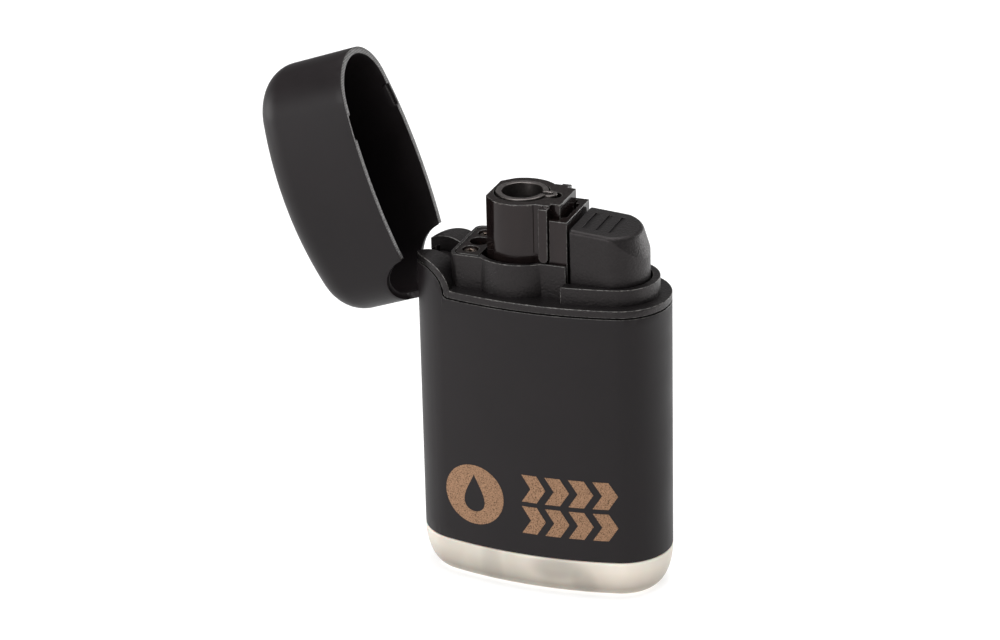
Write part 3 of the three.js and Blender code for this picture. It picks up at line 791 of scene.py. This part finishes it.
# ---- outer sleeve
def build_sleeve():
    ear = (DECK - BAND - GROOVE, SLEEVE_EAR, SLEEVE_EAR_FILLET)
    columns = outline_columns(ear_samples(*ear), [SLOT_HALF])
    bottom = sleeve_low.z
    half_rows = 11

    def layer(inset):
        points = []
        for column in columns:
            x, y = spot(column, inset)
            top = ear_height(x, *ear)
            low = [bottom + (SLOT_BOTTOM - bottom) * k / half_rows for k in range(half_rows + 1)]
            high = [SLOT_BOTTOM + (top - SLOT_BOTTOM) * k / half_rows for k in range(1, half_rows + 1)]
            points += [(x, y, z) for z in low + high]
        return points

    faces = []
    for k in range(len(columns)):
        rows = half_rows if near_hinge(k, columns, SLOT_HALF) else 2 * half_rows
        faces += column_faces(k, columns, 2 * half_rows + 1, range(rows))
    item = shell(layer(0), layer(SLEEVE_WALL), faces)
    drop_loose(item)
    soften(item, 0.08, 2, 50, LOFT_FLAT, edge_look=("soft_touch_black", "sleeve_edge_highlight"))
    finish_piece(item, "sleeve_shell", "soft_touch_black", "outer_sleeve")


# ---- lid
def notch_height(x):
    """Height of the rim, with the round notch that clears the hinge."""
    if x >= NOTCH_CORNER:
        return LID_RIM
    return HINGE_Z + sqrt(LID_NOTCH**2 - (x - HINGE_X) ** 2)


def build_lid():
    """The lid drawn shut, then swung open about the hinge."""
    notch_steps, notch_turn = 18, radians(7)
    notch_x = [HINGE_X + (NOTCH_CORNER - HINGE_X) * cos(notch_turn * k) for k in range(notch_steps)]
    columns = outline_columns([x for x in notch_x if x > -HALF_WIDTH + 0.1], [KNUCKLE_HALF])
    count = len(columns)
    tongue_rows, wall_rows, round_rows, cap_rows = 5, 8, 12, 9

    def crown(x, amount):
        return amount * (x / HALF_WIDTH) ** 2

    def layer(inset, across, down, top, sag):
        points = []
        for column in columns:
            x, y = spot(column, inset)
            start = notch_height(x)
            points += [(x, y, HINGE_Z + (start - HINGE_Z) * k / tongue_rows) for k in range(tongue_rows)]
            shoulder = top - down - crown(x, sag)
            points += [(x, y, start + (shoulder - start) * k / wall_rows) for k in range(wall_rows)]
            for k in range(round_rows + 1):
                angle = k / round_rows * pi / 2
                px, py = spot(column, inset + across * (1 - cos(angle)))
                points.append((px, py, top - down + down * sin(angle) - crown(px, sag)))
        return points

    rows = tongue_rows + wall_rows + round_rows + 1
    outside = layer(0, LID_ROUND_ACROSS, LID_ROUND_DOWN, LID_TOP, LID_CROWN)
    ceiling = LID_TOP - LID_ROOF
    inside = layer(LID_WALL, LID_ROUND_ACROSS - 0.6, LID_ROUND_DOWN - 0.7, ceiling, LID_CROWN - 0.1)
    faces = []
    for k in range(count):
        first = 0 if near_hinge(k, columns, KNUCKLE_HALF) else tongue_rows
        faces += column_faces(k, columns, rows, range(first, rows - 1))

    def close_top(points):
        """Strips across the crown: extra points between each rear column and its mirror in front."""
        lines = {}
        for k in range(count // 2 + 1):
            rear = k * rows + rows - 1
            front = (count - k) % count * rows + rows - 1
            if rear == front:
                lines[k] = [rear] * (cap_rows + 1)
                continue
            start, stop = Vector(points[rear]), Vector(points[front])
            line = [rear]
            for step in range(1, cap_rows):
                line.append(len(points))
                points.append(tuple(start.lerp(stop, step / cap_rows)))
            lines[k] = line + [front]
        return lines

    lines = close_top(outside)
    close_top(inside)
    for k in range(count // 2):
        for step in range(cap_rows):
            face = (lines[k][step], lines[k + 1][step], lines[k + 1][step + 1], lines[k][step + 1])
            faces.append(tuple(dict.fromkeys(face)))
    item = shell(outside, inside, faces)
    drop_loose(item)
    combine(item, *[("cut", rim_recess(side)) for side in (-1, 1)])
    soften(item, 0.05, 2, 50, LOFT_FLAT)
    faces_down = [face for face in item.data.polygons if face.normal.z < -0.99]
    rim = [face.index for face in faces_down if face.center.z / MM < LID_RIM + 0.5]
    swing_open(item)
    finish_piece(item, "lid", "soft_touch_black", "lid_shell", "lid")
    item.data.materials.append(MATERIALS["milled_rim"])
    for index in rim:
        item.data.polygons[index].material_index = 1


def rim_recess(side):
    """A shallow step cut into the inner edge of the rim."""
    inner_y = side * 4.5
    places = [7.3, 8.4, 9.5, 10.6]
    outer_edge = [(x, side * side_y_at(x, 0.45)) for x in places]
    inner_edge = [(places[-1], inner_y), (places[0], inner_y)]
    return prism(outer_edge + inner_edge, LID_RIM - 1, LID_RIM + 0.4)


def swing_open(item):
    """Turns a shut shape about the hinge to the open pose of the frame."""
    turn = Matrix.Rotation(-LID_ANGLE, 4, "Y")
    item.data.transform(shift(HINGE_X, 0, HINGE_Z) @ turn @ shift(-HINGE_X, 0, -HINGE_Z))


def build_knuckle():
    item = combine(
        rod_across(KNUCKLE_RADIUS, KNUCKLE_HALF),
        ("cut", rod_across(PIN_BORE, KNUCKLE_HALF + 1)),
    )
    soften(item, 0.15, 3, 50)
    swing_open(item)
    finish_piece(item, "lid_knuckle", "matte_black", "lid_shell", "lid")


# ---- fuel tank with its frosted foot
def build_tank():
    columns = outline_columns()
    round_steps = 18
    turns = [radians(90 * k / round_steps) for k in range(round_steps + 1)]
    profile = [(FOOT_ROUNDING * (1 - sin(t)), FOOT_HEIGHT * (1 - cos(t))) for t in turns]
    shoulder = FOOT_HEIGHT + 0.1
    wall = SKIRT_INSET + 0.1
    profile += [(0.1, shoulder), (wall, shoulder)] + [(wall, z) for z in (9, 14, 19, tank_high.z)]
    count = len(columns)
    points = [(*spot(column, inset), z) for inset, z in profile for column in columns]
    base = tuple(reversed(range(count)))
    roof = tuple(range(len(points) - count, len(points)))
    item = new_object(points, ring_faces(len(profile), count) + [base, roof])
    combine(item, ("cut", rod(FILL_BORE, -1, 9, FILL_X)))
    soften(item, 0.12, 2, 50, 0.1)
    finish_piece(item, "tank_foot", "frosted_clear", "fuel_tank")


# ---- top frame
def block_points(inset):
    left = BLOCK_LEFT + inset
    half = BLOCK_HALF - inset
    corner = BLOCK_CORNER - inset / 2
    return (
        [(NOZZLE_X, -half), (NOZZLE_X, half)]
        + arc(left + corner, half - corner, corner, 90, 180, 8)
        + arc(left + corner, corner - half, corner, 180, 270, 8)
    )


def slot_points(left, half, end, steps=32):
    """A straight-sided slot with a half-round right end."""
    return [(left, -half)] + arc(end - half, 0, half, -90, 90, steps) + [(left, half)]


def ear_side(level, radius, fillet, bottom):
    """Side view of the deck: level, then down the fillet and round the ear at the hinge."""
    fillet_x, meet_x = ear_places(level, radius, fillet)
    meet = degrees(acos((meet_x - HINGE_X) / radius))
    points = [(HINGE_X - radius, bottom), (BEYOND + 10, bottom), (BEYOND + 10, level)]
    points += arc(fillet_x, level + fillet, fillet, 270, 180 + meet, 10)
    points += arc(HINGE_X, HINGE_Z, radius, meet, 180, 40)[1:]
    return side_prism(points, ACROSS)


def screw_holes(radius, bottom, steps):
    return [("cut", rod(radius, bottom, ABOVE, SCREW_X, y, steps)) for y in (-SCREW_Y, SCREW_Y)]


def build_top_frame():
    groove = DECK - BAND
    low = SKIRT_BOTTOM
    fillet = SLEEVE_EAR_FILLET
    knuckle_room = KNUCKLE_RADIUS + 0.35
    strip_half = SLOT_HALF - STRIP_GAP
    cheek = combine(
        slab(-BEYOND, HINGE_X, EAR_CHEEK, groove),
        ("cut", ear_side(groove - GROOVE - 0.12, SLEEVE_EAR - 0.12, fillet, 0)),
    )
    under_band = combine(
        ear_side(groove, SLEEVE_EAR + GROOVE, fillet - 0.05, 0),
        ("cut", cheek),
    )
    band = combine(
        prism(outline(0), low, ABOVE),
        ("keep", ear_side(DECK, FRAME_EAR, FRAME_EAR_FILLET, low - 1)),
        ("cut", under_band),
    )
    core = combine(
        prism(outline(SKIRT_INSET), low, ABOVE),
        ("keep", ear_side(DECK, FRAME_EAR, FRAME_EAR_FILLET, low - 1)),
    )
    collar = combine(
        prism(outline(COLLAR_INSET), DECK - 1, COLLAR_TOP),
        ("keep", slab(COLLAR_LEFT, BEYOND)),
    )
    tower_well = combine(
        rod(WELL_RADIUS, low - 1, ABOVE, NOZZLE_X, 0, 96),
        ("keep", slab(WELL_LEFT, BEYOND)),
    )
    recess = combine(
        prism(block_points(0.45), HOUSING_TOP - 1.8, ABOVE),
        ("keep", slab(-BEYOND, WELL_LEFT + 0.05)),
    )
    strip = combine(
        prism(outline(STRIP_INSET), SLOT_BOTTOM + STRIP_GAP, TONGUE_BOTTOM),
        ("cut", prism(outline(SKIRT_INSET + SKIRT_WALL), 0, ABOVE)),
        ("keep", slab(-BEYOND, -END_X, strip_half)),
    )
    hollow = combine(
        prism(outline(SKIRT_INSET + SKIRT_WALL), low - 1, HOLLOW_TOP),
        ("keep", slab(-BEYOND, HOLLOW_RIGHT)),
    )
    item = combine(
        core,
        ("add", band),
        ("add", prism(block_points(0), DECK - 1, HOUSING_TOP)),
        ("add", rod(HOUSING_BULGE, DECK - 1, HOUSING_TOP, NOZZLE_X, 0, 96)),
        ("add", box(NOZZLE_X, HOUSING_RIGHT, -HOUSING_WALL_Y, HOUSING_WALL_Y, DECK - 1, HOUSING_TOP)),
        ("add", collar),
        ("add", strip),
        ("cut", tower_well),
        ("cut", slab(0, bracket_high.x + 0.3, 4.75, low - 1)),
        ("cut", prism(slot_points(HOUSING_RIGHT, BUTTON_HALF + 0.25, BUTTON_END + 0.3), low - 1, ABOVE)),
        ("cut", hollow),
        ("cut", rod_across(knuckle_room, EAR_GAP)),
        ("cut", slab(-BEYOND, HINGE_X + knuckle_room, EAR_GAP, HINGE_Z)),
        ("cut", slab(-BEYOND, HINGE_X, EAR_GAP, TONGUE_BOTTOM)),
        ("cut", rod_across(PIN_BORE, 3.95, 32)),
        ("cut", recess),
        ("cut", rod(1.5, low - 1, ABOVE, ADJUSTER_X)),
        *screw_holes(0.85, 41, 32),
    )
    soften(item, 0.08, 2, edge_look=("matte_black", "moulded_edge_highlight"))
    finish_piece(item, "deck_frame", "matte_black", "top_frame")


def build_cover_plate():
    top = plate_high.z
    plate = combine(
        prism(block_points(0.6), plate_low.z, top),
        ("keep", slab(-BEYOND, plate_high.x)),
        ("cut", rod(1.4, 0, ABOVE, ADJUSTER_X)),
        *screw_holes(1.15, top - 1.1, 48),
    )
    soften(plate, 0.08, 2, edge_look=("gloss_black", "gloss_edge_highlight"))
    finish_piece(plate, "cover_plate", "gloss_black", "valve_cover_plate")


def build_screw(node, y, turn):
    """A small pan-head screw with a cross recess."""
    low, high = box_mm(node)
    top = high.z
    shank, head, rounding = 0.65, 1.0, 0.3
    blade_length, blade_width = 0.54, 0.16
    profile = [(0, low.z), (0.5, low.z), (shank, low.z + 0.4), (shank, top - 0.8), (head, top - 0.8)]
    profile += arc(head - rounding, top - rounding, rounding, 0, 90, 4) + [(0, top)]
    item = turned(profile, SCREW_X, y, 48)
    for quarter in (0, 90):
        blade = box(-blade_length, blade_length, -blade_width, blade_width, top - 0.45, ABOVE)
        blade.data.transform(rotation(turn + quarter, "Z"))
        blade.data.transform(shift(SCREW_X, y))
        combine(item, ("cut", blade))
    soften(item, 0.05, 2)
    finish_piece(item, node + "_head", "dark_steel", node)


# ---- burner
def tower_points():
    """Plan of the tower: round, with a flat on the left and a square right end."""
    chamfer_x = -5.6
    shoulder = 4.0
    start = degrees(acos((chamfer_x - NOZZLE_X) / TOWER_RADIUS))
    stop = degrees(asin(shoulder / TOWER_RADIUS))
    return (
        [(TOWER_LEFT, TOWER_FLAT_HALF), (TOWER_LEFT, -TOWER_FLAT_HALF)]
        + arc(NOZZLE_X, 0, TOWER_RADIUS, -start, -stop, 40)
        + [(RIB_RIGHT, -shoulder), (RIB_RIGHT, shoulder)]
        + arc(NOZZLE_X, 0, TOWER_RADIUS, stop, start, 40)
    )


def rib_tool(side, top):
    """A rib with a rounded lower end, beside the tower's flank."""
    half = RIB_WIDTH / 2
    x = RIB_RIGHT - half
    low = RIB_BOTTOM
    points = [(x - half, top)] + arc(x, low + half, half, 180, 360, 12) + [(x + half, top)]
    rib = side_prism(points, 0.75)
    rib.data.transform(shift(0, side * 4.25))
    return rib


def build_tower():
    top = TOWER_TOP
    pocket_bottom = 46
    pocket = combine(
        rod(TUBE_RADIUS + 0.25, pocket_bottom, ABOVE, NOZZLE_X, 0, 96),
        ("add", prism(slot_points(NOZZLE_X, LOBE_RADIUS + 0.15, NOZZLE_X + 5.65), pocket_bottom, ABOVE)),
    )
    item = combine(
        prism(tower_points(), tower_low.z, top),
        ("add", rib_tool(-1, top - 0.25)),
        ("add", rib_tool(1, top - 0.25)),
        ("add", box(2, tower_high.x, -TAB_HALF, TAB_HALF, DECK + 8.4, top)),
        ("cut", pocket),
        ("cut", rod(2.3, 0, ABOVE, NOZZLE_X)),
        ("cut", rod(0.55, 0, ABOVE, NOZZLE_X + LOBE_OFFSET, 0, 24)),
    )
    soften(item, 0.1, 2, edge_look=("gloss_black", "gloss_edge_highlight"))
    finish_piece(item, "tower", "gloss_black", "burner_tower")


def build_tube():
    low, top = tube_low.z, tube_high.z
    lobe_x = NOZZLE_X + LOBE_OFFSET
    slot = slot_points(NOZZLE_X, LOBE_SLOT_HALF, lobe_x + LOBE_SLOT_HALF, 16)
    item = combine(
        rod(TUBE_RADIUS, low, top, NOZZLE_X, 0, 96),
        ("add", rod(LOBE_RADIUS, low, top, lobe_x, 0, 48)),
        ("cut", rod(TUBE_BORE, 0, ABOVE, NOZZLE_X, 0, 96)),
        ("cut", prism(slot, 0, ABOVE)),
    )
    soften(item, 0.12, 3)
    finish_piece(item, "keyhole_tube", "burner_metal", "burner_tube")


def build_bracket():
    low, high = bracket_low, bracket_high
    item = combine(
        box(low.x, high.x, -4.55, 4.55, low.z, high.z),
        ("add", box(3.5, high.x, -5.4, 5.4, low.z, DECK - 2.1)),
        ("cut", slab(0, 3.75, 3.8, DECK + 8.1)),
        ("cut", slab(0, 4.4, 2.6, DECK + 9.1)),
        ("cut", box(0, 3.5, -6, 6, low.z - 1, DECK - 1.8)),
    )
    soften(item, 0.1, 2, edge_look=("gloss_black", "gloss_edge_highlight"))
    finish_piece(item, "bracket_block", "gloss_black", "igniter_bracket")


# ---- thumb button
def button_top(x):
    return DECK + BUTTON_RISE - BUTTON_SLOPE * (x - BUTTON_LEFT)


def crease_height(x):
    return DECK + CREASE_RISE + CREASE_SLOPE * (CREASE_X - x)


def button_outline(inset):
    """The rear half from the tip to the flat left face, then its mirror."""
    half = BUTTON_HALF - inset
    centre = BUTTON_END - BUTTON_HALF
    corner = BUTTON_CORNER
    rear = arc(centre, 0, half, 0, 90, 24)[:-1]
    rear += [(centre + (BUTTON_LEFT + corner - centre) * k / 8, half) for k in range(9)]
    rear += arc(BUTTON_LEFT + corner, half - corner, corner, 90, 180, 4)[1:]
    rear += [(BUTTON_LEFT, (half - corner) * (1 - k / 5)) for k in range(1, 6)]
    return rear + [(x, -y) for x, y in rear[1:-1]][::-1]


def lean_in(x, y, z):
    """Above a crease that falls towards the tip, the round end leans in."""
    centre = BUTTON_END - BUTTON_HALF
    rise = z - crease_height(x)
    away = hypot(x - centre, y)
    if x <= centre or rise <= 0 or away < 1e-6:
        return x, y, z
    squeeze = CREASE_LEAN * rise / away
    return x - (x - centre) * squeeze, y * (1 - squeeze), z


def button_rings():
    """Rings from the hidden base up to the crease, from there to the shoulder and round to the top."""
    below, above, turns = 10, 8, 9
    rings = []
    walls = button_outline(0)
    for k in range(below + above + 1):
        ring = []
        for x, y in walls:
            shoulder = button_top(x) - BUTTON_ROUNDING
            crease = min(crease_height(x), shoulder - 0.2)
            if k <= below:
                z = BUTTON_BASE + (crease - BUTTON_BASE) * k / below
            else:
                z = crease + (shoulder - crease) * (k - below) / above
            ring.append(lean_in(x, y, z))
        rings.append(ring)
    for k in range(1, turns + 1):
        angle = radians(90 * k / turns)
        inset = BUTTON_ROUNDING * (1 - cos(angle))
        sink = BUTTON_ROUNDING * (1 - sin(angle))
        rings.append([lean_in(x, y, button_top(x) - sink) for x, y in button_outline(inset)])
    return rings


def build_button():
    rings = button_rings()
    count = len(rings[0])
    points = [point for ring in rings for point in ring]
    faces = ring_faces(len(rings), count)
    top = len(points) - count
    for k in range(count // 2):
        mirror, after = (count - k) % count, count - k - 1
        face = (top + k, top + k + 1, top + after, top + mirror)
        faces.append(tuple(dict.fromkeys(face)))
    faces.append(tuple(reversed(range(count))))
    item = new_object(points, faces)
    steps = [("cut", prism(slot_points(BUTTON_LEFT + 1, BUTTON_HALF - 1, BUTTON_END - 1), 41, 50))]
    for x in GRIP_PLACES:
        end = x + GRIP_LENGTH
        wedge = [(x, button_top(x) - GRIP_DEPTH), (end, button_top(end) + 0.02), (x, button_top(x) + 0.5)]
        steps.append(("cut", side_prism(wedge, GRIP_HALF)))
    steps.append(("add", box(BUTTON_LEFT + 0.05, 6, -1.5, 1.5, button_low.z, 43)))
    combine(item, *steps)
    soften(item, 0.04, 2, 40, 0.2, 15.5)
    finish_piece(item, "thumb_button", "button_black", "push_button", "button")


# ---- printed emblem
def front_point(x, z, lift):
    """A point of the sleeve's curved front, lifted off it."""
    y = sqrt((SIDE_RADIUS + lift) ** 2 - x**2) - SIDE_Y
    return x, -y, z


def printed(outlines, name):
    """Flat closed outlines in X and Z, filled, cut into narrow strips and laid on the curved front."""
    curve = bpy.data.curves.new(name, "CURVE")
    assign(curve, dimensions="2D", fill_mode="FRONT")
    for points in outlines:
        spline = curve.splines.new("POLY")
        spline.points.add(len(points) - 1)
        for k, (x, z) in enumerate(points):
            spline.points[k].co = (x, z, 0, 1)
        spline.use_cyclic_u = True
    holder = add_object(name, curve)
    mesh = baked(holder)
    bpy.data.objects.remove(holder)
    lines = round(HALF_WIDTH / PRINT_GRID)
    with edited(mesh) as work:
        for k in range(-lines, lines + 1):
            geometry = work.verts[:] + work.edges[:] + work.faces[:]
            place = (k * PRINT_GRID, 0, 0)
            bmesh.ops.bisect_plane(work, geom=geometry, plane_co=place, plane_no=(1, 0, 0))
        flat = [(v.co.x, v.co.y) for v in work.verts]
        work.verts.index_update()
        faces = [tuple(v.index for v in face.verts) for face in work.faces]
    outside = [front_point(x, z, INK_LIFT) for x, z in flat]
    inside = [front_point(x, z, -INK_SINK) for x, z in flat]
    item = shell(outside, inside, faces)
    item.data.shade_smooth()
    item.data.set_sharp_from_angle(angle=radians(40))
    finish_piece(item, name, "tan_ink")


def flame_drop(x, z, size):
    """A plain drop with its point up."""
    points = []
    for k in range(48):
        t = tau * k / 48
        wide = sin(t) * sin(t / 2) ** 1.6
        points.append((x + size * wide, z + size * 1.25 * cos(t)))
    return points


def chevron(x, low):
    right = x + CHEVRON_WIDTH
    middle = low + CHEVRON_HEIGHT / 2
    high = low + CHEVRON_HEIGHT
    tip = (right + CHEVRON_SLANT, middle)
    return [(x, low), (right, low), tip, (right, high), (x, high), (x + CHEVRON_SLANT, middle)]


def build_emblem():
    """A disc with a drop in it, beside two rows of chevrons."""
    disc = circle(DISC_RADIUS, DISC_X, EMBLEM_Z, 96)
    printed([disc, flame_drop(DISC_X, EMBLEM_Z + 0.3, DROP_SIZE)], "emblem_disc")
    rows = (EMBLEM_Z + CHEVRON_GAP, EMBLEM_Z - CHEVRON_GAP - CHEVRON_HEIGHT)
    chevrons = [chevron(CHEVRON_X + CHEVRON_PITCH * k, row) for row in rows for k in range(4)]
    printed(chevrons, "emblem_chevrons")


# ---- smaller turned pieces
def build_fill_valve():
    low, high = box_mm("fill_valve_body")
    mouth, bore, wall, neck, seat = 0.9, 1.35, 2.1, 0.5, 2.2
    profile = [(mouth, low.z + 0.25), (mouth + 0.25, low.z), (wall - 0.15, low.z), (wall, low.z + 0.15)]
    profile += [(wall, high.z), (neck, high.z), (neck, high.z - 1), (bore, high.z - 1)]
    profile += [(bore, seat), (mouth, seat)]
    item = turned(profile, FILL_X)
    soften(item, 0.04, 2, 40)
    finish_piece(item, "fill_valve_socket", "brass", "fill_valve_body")


def build_adjuster():
    low, high = box_mm("flame_adjuster")
    top = high.z
    shank, head, neck = 0.8, 1.3, 42.4
    profile = [(0, low.z), (shank - 0.1, low.z), (shank, low.z + 0.4), (shank, neck), (head, neck + 0.4)]
    profile += [(head, top - 0.2), (head - 0.2, top), (0, top)]
    item = turned(profile, ADJUSTER_X)
    combine(item, ("cut", slab(ADJUSTER_X - 2, ADJUSTER_X + 2, 0.2, top - 0.7)))
    soften(item, 0.05, 2, 40)
    finish_piece(item, "adjuster_screw", "brass", "flame_adjuster", "flame_adjuster")


# ---- stage
def place_camera():
    """A long lens aimed at the target, turned by azimuth, elevation and roll."""
    aim = rotation(CAMERA_AZIMUTH, "Z") @ rotation(90 - CAMERA_ELEVATION, "X")
    back_off = Matrix.Translation((0, 0, CAMERA_DISTANCE))
    data = bpy.data.cameras.new("camera")
    assign(data, lens=CAMERA_LENS, clip_start=0.01, clip_end=20)
    camera = add_object("camera", data)
    camera.matrix_world = Matrix.Translation(CAMERA_TARGET) @ aim @ rotation(CAMERA_ROLL, "Z") @ back_off
    bpy.context.scene.camera = camera


def area_light(name, place, aim, size, power):
    data = bpy.data.lights.new(name, "AREA")
    assign(data, shape="RECTANGLE", size=size[0], size_y=size[1], energy=power)
    light = add_object(name, data)
    light.location = place
    light.rotation_euler = (Vector(aim) - Vector(place)).to_track_quat("-Z", "Y").to_euler()


def build_stage():
    """A white floor that glows a little, a studio world and softboxes."""
    half = 3.0 / MM
    corners = [(-half, -half, 0), (half, -half, 0), (half, half, 0), (-half, half, 0)]
    floor = new_object(corners, [(0, 1, 2, 3)], "floor")
    nodes = Nodes("floor_white")
    nodes.set(Base_Color=(0.45, 0.45, 0.45, 1), Roughness=0.9, Specular_IOR_Level=0.1)
    nodes.set(Emission_Color=(1, 1, 1, 1), Emission_Strength=0.62)
    floor.data.materials.append(nodes.material)
    bpy.context.scene.world = studio_world()
    bpy.context.scene.view_settings.view_transform = "Standard"
    area_light("overhead", (0.05, 0.1, 0.9), (0, 0, 0), (0.9, 0.9), 11)
    area_light("front", (-0.2, -0.85, 0.42), (0, 0, 0.02), (0.6, 0.5), 6.5)
    area_light("left_wall", (-0.8, -0.16, 0.1), (0, 0, 0.03), (0.5, 0.2), 3.3)
    area_light("right_wall", (0.45, 0.65, 0.06), (0, 0, 0.03), (0.35, 0.12), 1.6)
    area_light("right_floor", (0.18, 0.08, 0.002), (0.18, 0.08, 1), (0.17, 0.22), 0.2)


def studio_world():
    """Bright low walls under a dim ceiling."""
    world = bpy.data.worlds.new("studio")
    world.use_nodes = True
    tree = world.node_tree
    background = tree.nodes["Background"]
    direction = tree.nodes.new("ShaderNodeTexCoord").outputs["Generated"]
    parts = tree.nodes.new("ShaderNodeSeparateXYZ")
    fade = assign(tree.nodes.new("ShaderNodeMapRange"), interpolation_type="SMOOTHSTEP")
    fill(fade, From_Min=-0.05, From_Max=0.4, To_Min=0.5, To_Max=0.15)
    tree.links.new(direction, parts.inputs["Vector"])
    tree.links.new(parts.outputs["Z"], fade.inputs["Value"])
    tree.links.new(fade.outputs["Result"], background.inputs["Strength"])
    fill(background, Color=(1, 1, 1, 1))
    return world


# ---- the lighter
place_camera()
make_materials()
dress_frame()
build_sleeve()
build_lid()
build_knuckle()
build_tank()
build_top_frame()
build_cover_plate()
build_screw("cover_screw_front", -SCREW_Y, 20)
build_screw("cover_screw_rear", SCREW_Y, 65)
build_tower()
build_tube()
build_bracket()
build_button()
build_emblem()
build_fill_valve()
build_adjuster()
build_stage()
